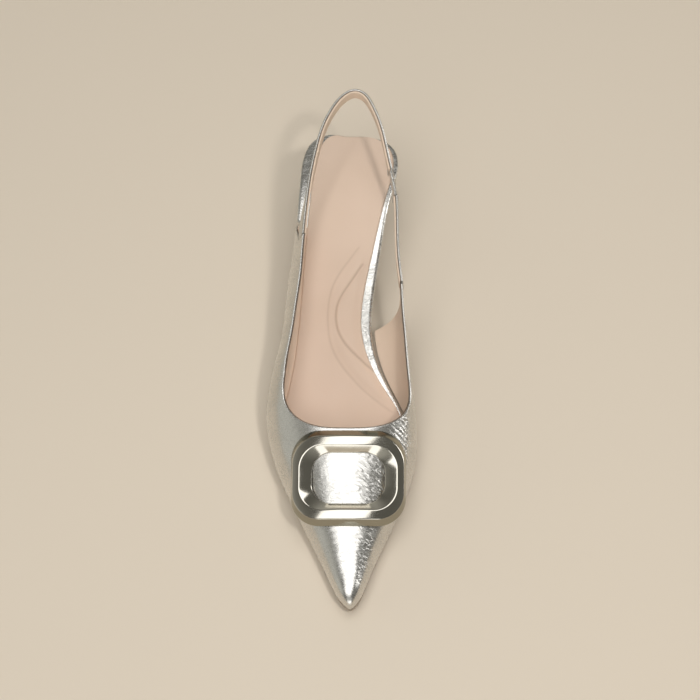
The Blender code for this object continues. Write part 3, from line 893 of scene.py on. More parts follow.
@dataclass(frozen=True)
class FloorPaper(Finish):
    """Plain pale beige paper with the faintest mottle."""

    name: str
    colour: Triple = (0.745, 0.658, 0.549)
    mottle_scale: float = 3.0
    mottle_dim: float = 0.97
    roughness: float = 0.85
    specular: float = 0.1

    def look(self, graph: Graph, place: Socket) -> dict[str, object]:
        """A slow change of tone."""
        slow = graph.noise(place, self.mottle_scale)
        return {
            "Base Color": graph.mix(slow, self.colour, dimmed(self.colour, self.mottle_dim)),
            "Roughness": self.roughness,
            "Specular IOR Level": self.specular,
        }


SILVER = CrinkledSilver()
VAMP_SILVER = CrinkledSilver("vamp_silver", has_wrinkles=True)
RIM_SILVER = CrinkledSilver(
    "rim_silver", scale=430.0, stretch=(0.7, 1.5, 1.0), fold_strength=0.36, fold_depth=0.00018
)
# Painted shade: the silver made darker throughout for the straps, as they look under the light.
SHADED_STRAP_SILVER = CrinkledSilver(
    "strap_silver_painted_shade", (0.58, 0.57, 0.545), (0.44, 0.43, 0.41), scale=700.0, fold_strength=0.2
)
GORE_SILVER = CrinkledSilver("gathered_silver", scale=800.0, fold_strength=0.6, roughness=(0.28, 0.42))
SOCK_LEATHER = SmoothLeather("pressed_sock_leather", has_grooves=True)
# Painted light: the sock leather made lighter for the linings, standing in for light in the shade inside the
# wings and straps.
LIT_LINING_LEATHER = SmoothLeather("beige_lining_painted_light", light=(0.8, 0.64, 0.51), dark=(0.74, 0.59, 0.465))
SOLE_LEATHER = SmoothLeather(
    "taupe_sole",
    light=(0.4, 0.33, 0.26),
    dark=(0.33, 0.27, 0.21),
    roughness=(0.4, 0.6),
    sheen=0.0,
    grain_scale=700.0,
    grain_depth=0.00009,
)
EDGE_PAINT = PlainCoat("brown_edge_paint", (0.17, 0.125, 0.09), 0.5)
THREAD = PlainCoat("grey_thread", (0.4, 0.385, 0.36), 0.6, scale=3000.0)
TIP_RUBBER = PlainCoat("black_tip_rubber", (0.035, 0.033, 0.032), 0.6, scale=600.0, depth=0.0001)
BUCKLE_METAL = PolishedMetal("polished_pale_gold")
FLOOR_PAPER = FloorPaper("beige_floor")


@dataclass
class Surface:
    """A mesh of quads over a grid of points, (along, round, 3), or over many grids, (copy, along, round, 3).

    Neighbours along and round a grid share a quad, and each round is closed.
    """

    name: str
    grid: Array
    closed_along: bool = False
    capped: bool = False
    masks: dict[str, Array] = field(default_factory=dict)

    def quads(self, copies: int, along: int, around: int) -> Array:
        """Corner numbers of every quad.

        Args:
            copies: number of grids.
            along: rounds of a grid.
            around: points of a round.

        Returns:
            The corners as (quad, 4).
        """
        i = np.arange(along if self.closed_along else along - 1)[:, None]
        j = np.arange(around)[None]
        after = (i + 1) % along
        beside = (j + 1) % around
        corners = (i * around + j, after * around + j, after * around + beside, i * around + beside)
        one = np.stack(np.broadcast_arrays(*corners), axis=-1).reshape(-1, 4)
        return (one + along * around * np.arange(copies)[:, None, None]).reshape(-1, 4)

    def with_caps(self) -> tuple[Array, dict[str, Array]]:
        """Adds a round at each end, whose points all lie in the middle of the end's own round.

        Returns:
            The grid and the masks with both rounds.
        """
        ends = self.grid[..., [0, -1], :, :]
        middles = np.broadcast_to(ends.mean(axis=-2, keepdims=True), ends.shape)
        grid = np.concatenate([middles[..., :1, :, :], self.grid, middles[..., 1:, :, :]], axis=-3)
        masks = {name: np.concatenate([mask[:1], mask, mask[-1:]]) for name, mask in self.masks.items()}
        return grid, masks

    def make(self, finish: Finish, slot: Slot, nodes: Sequence[str], sharp: float | None = None) -> None:
        """Makes the object, dresses it and puts it on the frame.

        Args:
            finish: its material.
            slot: the record's material slot; not used.
            nodes: the CAD nodes that it stands for.
            sharp: edges steeper than this many degrees stay sharp.
        """
        grid, masks = self.with_caps() if self.capped else (self.grid, self.masks)
        grids = grid.reshape(-1, *grid.shape[-3:])
        mesh = bpy.data.meshes.new(self.name)
        mesh.from_pydata(to_world(grids).reshape(-1, 3).tolist(), [], self.quads(*grids.shape[:3]).tolist())
        for name, mask in masks.items():
            layer = mesh.attributes.new(name, "FLOAT", "POINT")
            layer.data.foreach_set("value", np.asarray(mask, np.float32).ravel())
        self.weld(mesh)
        mesh.shade_smooth()
        if sharp is not None:
            mesh.set_sharp_from_angle(angle=math.radians(sharp))
        mesh.materials.append(finish.material())
        made = bpy.data.objects.new(self.name, mesh)
        bpy.context.scene.collection.objects.link(made)
        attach(made, "root")
        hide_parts(*nodes)
        LOG.info("%s: %d faces", self.name, len(mesh.polygons))

    @staticmethod
    def weld(mesh: bpy.types.Mesh) -> None:
        """Joins points that coincide and turns every face outwards.

        Args:
            mesh: the mesh to mend.
        """
        work = bmesh.new()
        work.from_mesh(mesh)
        bmesh.ops.remove_doubles(work, verts=work.verts, dist=MERGE)
        bmesh.ops.dissolve_degenerate(work, edges=work.edges, dist=MERGE)
        bmesh.ops.recalc_face_normals(work, faces=work.faces)
        work.to_mesh(mesh)
        work.free()


@dataclass
class Last:
    """The form that the shoe is made on: underside, widest line, ridge and sections."""

    heel_pitch: float = 49.7
    toe_spring: float = 5.0
    sole_thick: float = 3.0
    gap: float = 0.3
    tread_front: float = 46.0
    tread_rear: float = 84.0
    seat_front: float = 232.0
    seat_round: float = 24.0
    seat_centre: float = -2.5
    nose_round: float = 8.0
    nose_close: float = 10.0
    toe_tip: float = -1.8
    feather_lag: float = 1.3
    feather_fade: float = 60.0
    belly: float = 0.35
    rib_points: int = 90

    def __post_init__(self) -> None:
        """Turns the tables into splines."""
        self.feather = both_sides(FEATHER_LINE, "outer", "inner")
        self.wide = both_sides(SECTIONS, "wide_out", "wide_in")
        self.rise = both_sides(SECTIONS, "rise_out", "rise_in")
        self.crown = both_sides(SECTIONS, "crown_out", "crown_in")
        self.full = both_sides(SECTIONS, "full_out", "full_in")
        self.topline = both_sides(WING_TOPLINE, "outer", "inner")
        self.margin = both_sides(SOCK_MARGIN, "outer", "inner")
        self.ridge = column(RIDGE, "across")

    def bottom(self, station: Array) -> Array:
        """Height of the underside: toe spring squared, flat tread, then an eased rise to the seat.

        Args:
            station: stations to read.

        Returns:
            The heights.
        """
        spring = self.toe_spring * np.clip(1.0 - station / self.tread_front, 0.0, 1.0) ** 2
        share = (station - self.tread_rear) / (self.seat_front - self.tread_rear)
        return self.sole_thick + self.gap + spring + self.heel_pitch * eased(share)

    def nose(self, station: Array, front: float) -> Array:
        """Share of the full width near a front end that is round like a quarter circle."""
        share = np.clip((station - front) / self.nose_round, 0.0, 1.0)
        return np.sqrt(share * (2.0 - share))

    def seat_close(self, station: Array, rear: float) -> Array:
        """Share of the full width near a rear end that is a squared round: the cube root of 1 - t^3."""
        late = np.clip(1.0 - (rear - station) / self.seat_round, 0.0, 1.0)
        return np.cbrt(1.0 - late**3)

    def feather_across(self, side: Side, station: Array, inset: Array, front: float) -> Array:
        """Across place of the feather line, set in by an inset."""
        return side.value * (self.feather[side](station) - inset) * self.nose(station, front)

    def widest(self, side: Side, station: Array) -> Arrays:
        """Across place and height of the widest line."""
        across = side.value * self.wide[side](station) * self.nose(station, self.toe_tip)
        return across, self.bottom(station) + self.rise[side](station)

    def ridge_height(self, side: Side, station: Array) -> Array:
        """Height of the ridge, which drops to the widest line at the toe tip in a quarter circle.

        Args:
            side: side of the foot.
            station: stations to read.

        Returns:
            The heights.
        """
        low = self.widest(side, station)[1]
        short = np.clip(1.0 - (station - self.toe_tip) / self.nose_close, 0.0, 1.0)
        return low + (self.bottom(station) + self.crown[side](station) - low) * np.sqrt(1.0 - short**2)

    def height(self, side: Side, across: Array, station: Array) -> Array:
        """Height of the outside above its widest line: a superellipse over each half section.

        Args:
            side: side of the foot.
            across: across places.
            station: their stations.

        Returns:
            The heights.
        """
        ridge = self.ridge(station)
        wide, low = self.widest(side, station)
        share = np.clip(np.abs(across - ridge) / np.maximum(np.abs(wide - ridge), TINY), 0.0, 1.0)
        full = self.full[side](station)
        return low + (self.ridge_height(side, station) - low) * (1.0 - share**full) ** (1.0 / full)

    def topline_share(self, side: Side, station: Array) -> Array:
        """Share of the half width where the outside reaches the top line: the superellipse turned round.

        Args:
            side: side of the foot.
            station: stations to read.

        Returns:
            The shares.
        """
        low = self.widest(side, station)[1]
        lift = (self.topline[side](station) - low) / (self.ridge_height(side, station) - low)
        full = self.full[side](station)
        return (1.0 - lift**full) ** (1.0 / full)

    def across_at(self, side: Side, station: Array, share: Array) -> Array:
        """Across place at a share of the half width from the ridge."""
        ridge = self.ridge(station)
        return ridge + share * (self.widest(side, station)[0] - ridge)

    def ribs(self, side: Side, station: Array, top_across: Array, top_station: Array) -> Array:
        """Lines up the outside: a parabola from feather line to widest line, then the section's curve.

        Args:
            side: side of the foot.
            station: station of each rib's widest point.
            top_across: across place of each rib's top.
            top_station: station of each rib's top.

        Returns:
            The ribs as (rib, point, 3).
        """
        lag = self.feather_lag * np.clip(1.0 - (station - self.toe_tip) / self.feather_fade, 0.0, None)
        foot_station = station + lag
        foot_height = self.bottom(foot_station)
        foot_across = self.feather_across(side, foot_station, 0.0, self.toe_tip + self.feather_lag)
        wide, high = self.widest(side, station)
        foot = np.stack([foot_across, foot_station, foot_height], axis=-1)[:, None]
        broad = np.stack([wide, station, high], axis=-1)[:, None]
        round_height = foot_height + self.belly * (high - foot_height)
        belly = np.stack([wide, station, round_height], axis=-1)[:, None]
        t = np.linspace(0.0, 1.0, self.rib_points)[None, :, None]
        lower = parabola(foot, belly, broad, t)
        over = t[:, 1:] ** 2
        top = np.stack([top_across, top_station], axis=-1)[:, None]
        plan = broad[..., :2] * (1.0 - over) + top * over
        heights = self.height(side, plan[..., 0], plan[..., 1])
        return np.concatenate([lower, np.concatenate([plan, heights[..., None]], axis=-1)], axis=1)

    def plan_sides(self, stations: Array, ends: SlabEnds, inset: Callable) -> Array:
        """Outer and inner edge of an outline inside the feather line.

        Args:
            stations: stations to read.
            ends: where the outline ends, and whether its rear is round.
            inset: inset of a side at stations.

        Returns:
            Across places as (2, station).
        """
        sides = np.stack(
            [self.feather_across(side, stations, inset(side, stations), ends.front) for side in Side]
        )
        if not ends.round_rear:
            return sides
        return self.seat_centre + (sides - self.seat_centre) * self.seat_close(stations, ends.rear)


@dataclass
class Upper:
    """Vamp and wings: a leather wall with folded edges, its lining and the painted edge between them."""

    last: Last
    wall: float = 1.6
    leather: float = 1.08
    lining_gap: float = 0.02
    lining_back: float = 0.35
    lining_low: float = 0.5
    bead: float = 0.24
    bead_deep: float = 0.05
    bead_high: float = 0.02
    bead_points: int = 8
    throat_rear: float = 115.0
    throat_depth: float = 29.3
    throat_square: float = 2.8
    throat_crowd: float = 2.2
    toe_crowd: float = 1.5
    outer_back: float = 183.0
    outer_slant: float = 15.5
    slant_top: float = 0.92
    slant_foot: float = 0.08
    inner_back: float = 150.0
    inner_corner: float = 9.0
    inner_end: float = 161.0
    back_curve: float = 1.5
    back_crowd: float = 0.5
    strap_height: float = 6.5
    tail_slack: float = 0.1
    joint: float = 0.3
    edge_room: float = 0.35
    throat_ribs: int = 165
    wing_step: float = 1.1
    corner_ribs: int = 22
    rows: int = 118
    inside_rows: int = 20
    lining_rows: int = 46
    bead_rows: int = 30
    roll_steps: int = 7
    lining_roll_steps: int = 3
    crease_wander: Ripple = Ripple(7.0, 41, 0.5)
    crease_taper: float = 0.7
    crease_lean: float = 0.1
    crease_ease: float = 0.4
    ridge_part: float = 0.45
    ridge_beside: float = 1.6
    waves: tuple[Ripple, ...] = (Ripple(11.0, 5, 0.035), Ripple(4.6, 11, 0.016))
    edge_fade: Pair = (0.12, 0.08)
    least_wrinkle: float = 0.03

    def throat(self, side: Side) -> Array:
        """Ribs from the toe's middle to the throat's rear corner. The throat is half a squared oval.

        Args:
            side: side of the foot.

        Returns:
            The ribs as (rib, point, 3).
        """
        turn = np.linspace(0.0, 1.0, self.throat_ribs + 1)
        angle = 0.5 * math.pi * turn**self.throat_crowd
        power = 2.0 / self.throat_square
        station = self.throat_rear - self.throat_depth * np.clip(np.cos(angle), 0.0, 1.0) ** power
        share = self.last.topline_share(side, self.throat_rear) * np.sin(angle) ** power
        widest = self.last.toe_tip + (self.throat_rear - self.last.toe_tip) * turn**self.toe_crowd
        return self.last.ribs(side, widest, self.last.across_at(side, station, share), station)

    def wing(self, side: Side, stations: Array) -> Array:
        """Ribs of a wing, straight across the shoe."""
        share = self.last.topline_share(side, stations)
        return self.last.ribs(side, stations, self.last.across_at(side, stations, share), stations)

    def spans(self, side: Side) -> Arrays:
        """What stays of a wing's ribs: the outer wing ends in a slant, the inner one in a round corner.

        Args:
            side: side of the foot.

        Returns:
            Stations, lowest and highest share of the length below the strap's band, and the band's height.
        """
        back = self.outer_back if side is Side.OUTER else self.inner_back
        whole = np.linspace(self.throat_rear, back, int((back - self.throat_rear) / self.wing_step))[1:]
        left = 1.0 - np.linspace(0.0, 1.0, self.corner_ribs + 1)
        if side is Side.OUTER:
            tail = back + self.joint + self.outer_slant * (1.0 - left)
            slant = self.slant_foot + (self.slant_top - self.slant_foot) * left
            high = np.concatenate([np.ones(len(whole)), slant])
            band = np.concatenate([np.full(len(whole), self.strap_height), np.zeros(len(left))])
            return np.concatenate([whole, tail]), np.zeros(len(high)), high, band
        corner = back + self.inner_corner * (1.0 - left[1:] ** self.back_crowd)
        stations = np.concatenate([whole, corner, [self.inner_end]])
        low = np.concatenate([np.zeros(len(whole)), 1.0 - left[1:] ** self.back_curve, [1.0]])
        return stations, low, np.ones(len(low)), np.full(len(low), self.strap_height)

    def half(self, side: Side) -> Arrays:
        """Ribs of one side from the toe's middle to the wing's tail.

        Args:
            side: side of the foot.

        Returns:
            The ribs, and the first and last arc position that each keeps.
        """
        throat = self.throat(side)
        stations, low, high, band = self.spans(side)
        wing = self.wing(side, stations)
        foot = arcs(wing)[:, -1] - self.strap_height
        lines = np.concatenate([throat, wing])
        start = np.concatenate([np.zeros(len(throat)), low * foot])
        end = np.concatenate([arcs(throat)[:, -1], high * foot + band])
        return lines, start, end

    def lines(self) -> Arrays:
        """All ribs from the outer tail round the toe to the inner tail, with their first and last arc."""
        halves = zip(self.half(Side.OUTER), self.half(Side.INNER))
        return tuple(np.concatenate([outer[::-1], inner[1:]]) for outer, inner in halves)

    def skin(self, start_back: float, end_back: float, rows: int) -> Arrays:
        """The outside of the wall as a grid.

        Args:
            start_back: how far above each rib's first arc it starts.
            end_back: how far below each rib's last arc it ends.
            rows: points up each rib.

        Returns:
            Points, outward normals and directions up the ribs, each as (rib, row, 3).
        """
        lines, start, end = self.lines()
        room = self.edge_room * (end - start)
        first = start + np.minimum(start_back, room)
        last = end - np.minimum(end_back, room)
        grid = resample(lines, first, last, np.linspace(0.0, 1.0, rows))
        rise = unit(np.gradient(grid, axis=1))
        normal = unit(np.cross(np.gradient(grid, axis=0), rise))
        return grid, normal, rise

    @staticmethod
    def rolled(outside: Array, inside: Array, rise: Array, steps: int) -> Array:
        """Closed loops round a wall: up its outside, over a half round edge, down its inside and back.

        Args:
            outside: outside points as (rib, row, 3).
            inside: inside points, paired with them.
            rise: directions up the ribs.
            steps: points on each half round edge.

        Returns:
            The loops as (rib, point, 3).
        """
        turn = np.linspace(0.0, math.pi, steps + 2)[1:-1][None, :, None]

        def edge(first: Array, second: Array, ahead: Array) -> Array:
            """Half a circle from the first point to the second, bulging ahead."""
            arm = 0.5 * (first - second)[:, None]
            bulge = ahead[:, None] * np.linalg.norm(arm, axis=-1, keepdims=True)
            return 0.5 * (first + second)[:, None] + arm * np.cos(turn) + bulge * np.sin(turn)

        top = edge(outside[:, -1], inside[:, -1], rise[:, -1])
        foot = edge(inside[:, 0], outside[:, 0], -rise[:, 0])
        return np.concatenate([outside, top, inside[:, ::-1], foot], axis=1)

    def crease(self, plan: Array, fan: CreaseFan, turn: float, wander: Array) -> Array:
        """One crease of a fan: a Gaussian trough about a bowed line, with a low ridge beside it.

        It fades towards both ends of its line.

        Args:
            plan: across and station of each point.
            fan: the fan.
            turn: share of the way from the fan's first crease to its last.
            wander: how far the line strays at each point.

        Returns:
            How far the crease moves each point out.
        """
        ends = np.array(fan.first) * (1.0 - turn) + np.array(fan.last) * turn
        along = ends[2:] - ends[:2]
        length = float(np.hypot(*along))
        ahead = along / length
        share = (plan - ends[:2]) @ ahead / length
        beside = (plan - ends[:2]) @ np.array([-ahead[1], ahead[0]])
        arch = 4.0 * share * (1.0 - share)
        away = (beside - fan.bow * arch - wander) / fan.width
        taper = np.clip(arch, 0.0, 1.0) ** self.crease_taper
        return fan.depth * taper * (self.ridge_part * hill(away - self.ridge_beside) - hill(away))

    def folds(self, grid: Array, normal: Array) -> Array:
        """The listed creases where the leather faces up, over a low waviness.

        Both fade at the edges of the wall.

        Args:
            grid: outside points.
            normal: outward normals.

        Returns:
            How far each point moves out.
        """
        wander = self.crease_wander.at(grid)
        moved = np.zeros(grid.shape[:2])
        for fan in VAMP_CREASES:
            for turn in np.linspace(0.0, 1.0, fan.count):
                moved += self.crease(grid[..., :2], fan, turn, wander)
        moved *= eased((normal[..., 2] - self.crease_lean) / self.crease_ease)
        moved += sum(ripple.at(grid) for ripple in self.waves)
        rows = np.linspace(0.0, 1.0, grid.shape[1])[None]
        return moved * within(rows, (0.0, 1.0), self.edge_fade)

    def wrinkled(self, grid: Array) -> Array:
        """Mask of the wrinkled places: a sum of Gaussian hills in plan over a low base, never above 1.

        Args:
            grid: outside points.

        Returns:
            The mask.
        """
        mask = np.full(grid.shape[:2], self.least_wrinkle)
        for patch in VAMP_WRINKLES:
            beside = (grid[..., 0] - patch.across) / patch.wide
            along = (grid[..., 1] - patch.station) / patch.long
            mask += patch.strength * hill(beside) * hill(along)
        return np.clip(mask, 0.0, 1.0)

    def build(self) -> None:
        """Makes leather, lining and edge line."""
        self.build_leather()
        self.build_lining()
        self.build_edge()

    def build_leather(self) -> None:
        """The creased leather, with fewer points on its hidden inside."""
        half = 0.5 * self.leather
        grid, normal, rise = self.skin(half, half, self.rows)
        outside = grid + normal * self.folds(grid, normal)[..., None]
        coarse = np.linspace(0, self.rows - 1, self.inside_rows).astype(int)
        inside = (grid - normal * self.leather)[:, coarse]
        loops = self.rolled(outside, inside, rise, self.roll_steps)
        mask = np.zeros(loops.shape[:2])
        mask[:, : self.rows] = self.wrinkled(outside)
        leather = Surface("upper_leather", loops, capped=True, masks={"wrinkle": mask})
        leather.make(VAMP_SILVER, Slot.SILVER, ["upper"])

    def build_lining(self) -> None:
        """A thin lining on the wall's inside, set back from its edges."""
        back = self.lining_back + 0.5 * (self.wall - self.leather)
        grid, normal, rise = self.skin(self.lining_low, back, self.lining_rows)
        outside = grid - normal * (self.leather + self.lining_gap)
        loops = self.rolled(outside, grid - normal * self.wall, rise, self.lining_roll_steps)
        Surface("upper_lining", loops, capped=True).make(LIT_LINING_LEATHER, Slot.SOCK, ["upper"])

    def build_edge(self) -> None:
        """A thin painted bead along the lining's upper edge: a circle carried round the whole top line."""
        grid, normal, rise = self.skin(0.0, 0.0, self.bead_rows)
        _, start, end = self.lines()
        whole = end - start > self.strap_height - self.tail_slack
        middle = (grid - normal * (self.leather + self.bead_deep) + rise * self.bead_high)[whole, -1:]
        turn = circle(self.bead_points)[None, :, None]
        around = np.cos(turn) * normal[whole, -1:] + np.sin(turn) * rise[whole, -1:]
        edge = Surface("topline_edge", middle + self.bead * around, capped=True)
        edge.make(EDGE_PAINT, Slot.SOCK, ["upper"])


@dataclass
class Bottom:
    """Outsole, wrapped insole board and sock, which lie on each other."""

    last: Last
    wall: float = 1.6
    waist_thin: float = 0.8
    waist_length: float = 60.0
    breast: float = 206.0
    sole_show: float = 0.5
    sole_tuck: float = 4.0
    sole_round: float = 0.55
    tuck_front: float = 135.0
    tuck_rear: float = 165.0
    board_thick: float = 3.5
    board_front: float = 10.0
    board_rear: float = 251.0
    board_round: float = 1.5
    rim_front: float = 199.2
    rim_step: float = 1.7
    rim_waves: Ripple = Ripple(5.0, 17, 0.03)
    rim_folds: Ripple = Ripple(3.4, 41)
    fold_depth: float = 0.13
    fold_middle: float = 0.4
    fold_draw: float = 0.28
    fold_span: Pair = (116.0, 176.0)
    fold_ease: Pair = (14.0, 16.0)
    fold_inner: float = 8.0
    seat_skew: float = 2.3
    skew_beside: float = 2.0
    skew_behind: float = 234.0
    skew_ease: float = 14.0
    sock_thick: float = 1.2
    sock_round: float = 0.8
    sock_front: float = 14.0
    sock_rear: float = 250.0
    sock_waves: Ripple = Ripple(26.0, 3, 0.06)
    sock_wave_rim: float = 5.0
    sock_rows: int = 420
    sock_points: int = 121
    sock_crowd: float = 0.35
    sock_skip: int = 8
    pad_height: float = 0.9
    pad_ease: float = 14.0
    pad_early: float = 1.0
    pad_slope: float = 9.0
    pad_rim: float = 6.0
    groove_depth: float = 0.28
    groove_width: float = 0.55
    groove_ease: float = 2.0
    groove_tone: float = 0.8
    outer_groove: float = 0.45
    inner_groove: float = 1.0
    ridge_part: float = 0.6
    ridge_beside: float = 2.0
    rear_line: float = 225.0
    rear_line_ease: float = 10.0
    rear_line_width: float = 0.9
    flap_span: Pair = (92.0, 197.0)
    flap_curl: float = 2.4
    flap_lift: float = 0.18
    flap_tuck: float = 0.15
    flap_under: float = 1.5
    flap_rows: int = 150
    flap_points: int = 14
    edge_steps: int = 6
    top_rings: int = 16
    top_reach: float = 0.36
    spine_stop: float = 4.0
    stations: int = 340

    def sole_top(self, station: Array) -> Array:
        """Height of the sole's top, a gap under the last."""
        return self.last.bottom(station) - self.last.gap

    def sole_bottom(self, station: Array) -> Array:
        """Height of the tread, which thins in the waist."""
        thin = self.waist_thin * eased((station - self.last.tread_rear) / self.waist_length)
        return self.sole_top(station) - self.last.sole_thick + thin

    def board_top(self, station: Array) -> Array:
        """Height of the board's top."""
        return self.last.bottom(station) + self.board_thick

    def sole_inset(self, side: Side, station: Array) -> Array:
        """The sole shows an edge round the forefoot and is tucked under the waist, alike on both sides."""
        tuck = eased((station - self.tuck_front) / (self.tuck_rear - self.tuck_front))
        return (self.sole_show + self.sole_tuck) * tuck - self.sole_show

    def board_inset(self, side: Side, station: Array) -> Array:
        """The board lies inside the wall and comes out flush with it behind the outer wing."""
        bare = eased((station - self.rim_front) / self.rim_step) if side is Side.OUTER else 0.0 * station
        return (self.wall + self.last.gap) * (1.0 - bare)

    def sock_inset(self, side: Side, station: Array) -> Array:
        """The sock leaves a margin of the board bare."""
        return self.wall + self.last.gap + self.last.margin[side](station)

    def skewed(self, points: Array, share: Array = 1.0) -> Array:
        """Points of the seat, with its outer rear corner drawn back.

        Args:
            points: points in shoe coordinates, as (..., 3).
            share: share of the full draw.

        Returns:
            The moved points.
        """
        beside = eased((-points[..., 0] - self.skew_beside) / self.skew_ease)
        behind = eased((points[..., 1] - self.skew_behind) / self.skew_ease)
        moved = points.copy()
        moved[..., 1] += share * self.seat_skew * beside * behind
        return moved

    def slab(self, name: str, ends: SlabEnds, inset: Callable, heights: tuple, rounding: float) -> Surface:
        """A slab with rounded edges over an outline: rings set in along the outline's own normal.

        Args:
            name: the piece's name.
            ends: where the outline ends, and whether its rear is round.
            inset: inset of a side at stations.
            heights: bottom and top height as functions of station.
            rounding: radius of both edges.

        Returns:
            The closed surface.
        """
        stations = crowded(ends.front, ends.rear, self.stations)
        sides = self.last.plan_sides(stations, ends, inset)
        edge = np.column_stack([round_trip(*sides), round_trip(stations, stations)])
        spine = round_trip(sides.mean(axis=0), sides.mean(axis=0))
        single = np.linalg.norm(edge - np.roll(edge, 1, axis=0), axis=1) > TINY
        edge, spine = edge[single], spine[single]
        ahead = unit(np.roll(edge, -1, axis=0) - np.roll(edge, 1, axis=0))
        inwards = np.stack([ahead[:, 1], -ahead[:, 0]], axis=-1)
        quarter = np.linspace(0.0, 0.5 * math.pi, self.edge_steps)[:, None]
        rings = edge + inwards * (rounding * (1.0 - np.sin(quarter)))[..., None]
        drops = rounding * (1.0 - np.cos(quarter))
        low, high = heights
        bottom = np.dstack([rings, low(rings[..., 1]) + drops])
        top = np.dstack([rings, high(rings[..., 1]) - drops])[::-1]
        stop = self.spine_stop * rounding
        middle = np.clip(edge[:, 1], ends.front + stop, ends.rear - stop)
        first = np.column_stack([spine, middle, low(middle)])
        final = np.column_stack([spine, middle, high(middle)])
        shares = np.linspace(0.0, self.top_reach, self.top_rings + 1)[1:, None, None]
        inner = top[-1] + (final - top[-1]) * shares
        return Surface(name, np.concatenate([first[None], bottom, top, inner, final[None]]))

    def pressed(self, across: Array, stations: Array) -> Arrays:
        """The sock's two pressed lines: each is a Gaussian groove with a Gaussian ridge beside it.

        Args:
            across: across places as (station, point).
            stations: the stations.

        Returns:
            Depth of the grooves and height of the ridges, as shares of the full depth.
        """
        groove = np.zeros(across.shape)
        ridge = np.zeros(across.shape)
        for points, strength in ((ARCH_OUTER, self.outer_groove), (ARCH_INNER, self.inner_groove)):
            line = column(points, "across")(stations)
            steep = np.sqrt(1.0 + np.gradient(line, stations) ** 2)
            beside = (across - line[:, None]) / (steep * self.groove_width)[:, None]
            span = (points[0].station, points[-1].station)
            present = strength * within(stations, span, (self.groove_ease, self.groove_ease))[:, None]
            groove = np.maximum(groove, hill(beside) * present)
            ridge += hill(beside - self.ridge_beside) * present
        return groove, ridge

    def pad(self, across: Array, along: Array, rim: Array) -> Array:
        """Height of the arch pad, which swells towards the inner edge from the outer pressed line.

        Args:
            across: across places.
            along: their stations.
            rim: their distances from the sock's edge.

        Returns:
            The heights.
        """
        span = (ARCH_OUTER[0].station, ARCH_OUTER[-1].station)
        present = within(along, span, (self.pad_ease, self.pad_ease))
        inside = eased((across - column(ARCH_OUTER, "across")(along) + self.pad_early) / self.pad_slope)
        return self.pad_height * inside * present * eased(rim / self.pad_rim)

    def build_sock(self) -> None:
        """The sock: loops across it, with an arch pad, two pressed lines and quarter round edges on top.

        Its mask marks the pressed lines and the dark edge at the rear.
        """
        ends = SlabEnds(self.sock_front, self.sock_rear, True)
        stations = crowded(ends.front, ends.rear, self.sock_rows)
        outer, inner = self.last.plan_sides(stations, ends, self.sock_inset)
        turn = np.linspace(-1.0, 1.0, self.sock_points)
        share = self.sock_crowd * np.sin(0.5 * math.pi * turn) + (1.0 - self.sock_crowd) * turn
        half = 0.5 * (inner - outer)[:, None]
        across = 0.5 * (inner + outer)[:, None] + half * share
        along = np.broadcast_to(stations[:, None], across.shape)
        rim = np.minimum(half * (1.0 - np.abs(share)), np.minimum(ends.rear - along, along - ends.front))
        radius = self.sock_round * self.sock_thick
        short = np.clip(1.0 - rim / radius, 0.0, 1.0)
        foot = self.board_top(along) + self.last.gap
        height = foot + self.sock_thick - radius * (1.0 - np.sqrt(1.0 - short**2))
        groove, ridge = self.pressed(across, stations)
        waves = self.sock_waves.at(np.stack([across, along, 0.0 * along], axis=-1))
        height += self.pad(across, along, rim) + waves * eased(rim / self.sock_wave_rim)
        height += self.groove_depth * (self.ridge_part * ridge - groove)
        top = np.stack([across, along, height], axis=-1)
        bottom = np.stack([across, along, foot], axis=-1)[:, :: -self.sock_skip]
        behind = eased((along - self.rear_line) / self.rear_line_ease)
        rear_line = behind * (1.0 - eased(rim / self.rear_line_width))
        dark = np.maximum(groove * self.groove_tone, rear_line)
        mask = np.concatenate([dark, np.zeros(bottom.shape[:2])], axis=1)
        grid = self.skewed(np.concatenate([top, bottom], axis=1))
        sock = Surface("sock", grid, capped=True, masks={"groove": mask})
        sock.make(SOCK_LEATHER, Slot.SOCK, ["sock_lining"])

    def wrinkled(self, grid: Array) -> Array:
        """The board's cover drawn over its edge: broad waves, and folds across the rim at the inner waist.

        A fold is the size of a waviness that is drawn out across the shoe, so it runs over the rim. The
        folds end at both ends of the waist.

        Args:
            grid: the board's rings, bottom first.

        Returns:
            The rings with their height changed, except the first two and the last.
        """
        inner = eased(grid[..., 0] / self.fold_inner)
        waist = within(grid[..., 1], self.fold_span, self.fold_ease) * inner
        folds = self.rim_folds.at(grid * np.array([self.fold_draw, 1.0, self.fold_draw]))
        waves = self.rim_waves.at(grid) + self.fold_depth * waist * (np.abs(folds) - self.fold_middle)
        waves[:2] = 0.0
        waves[-1] = 0.0
        return grid + waves[..., None] * UPRIGHT

    def build_lining_foot(self) -> None:
        """The outer lining's foot: a thin strip on the board, curled up the wall and tucked under the sock.

        Each loop runs across the strip on top and back underneath.
        """
        stations = np.linspace(*self.flap_span, self.flap_rows)
        insets = (self.wall - self.flap_tuck, self.sock_inset(Side.OUTER, stations) + self.flap_under)
        front = self.last.toe_tip
        edges = (self.last.feather_across(Side.OUTER, stations, inset, front) for inset in insets)
        wall, sock = (edge[:, None] for edge in edges)
        across = wall + (sock - wall) * np.linspace(0.0, 1.0, self.flap_points)
        along = np.broadcast_to(stations[:, None], across.shape)
        curl = self.flap_curl * (1.0 - np.clip((across - wall) / self.flap_curl, 0.0, 1.0)) ** 2
        top = np.stack([across, along, self.board_top(along) + self.flap_lift + curl], axis=-1)
        under = (top - self.flap_lift * UPRIGHT)[:, ::-1]
        foot = Surface("lining_foot", np.concatenate([top, under], axis=1), capped=True)
        foot.make(LIT_LINING_LEATHER, Slot.SOCK, ["upper"])

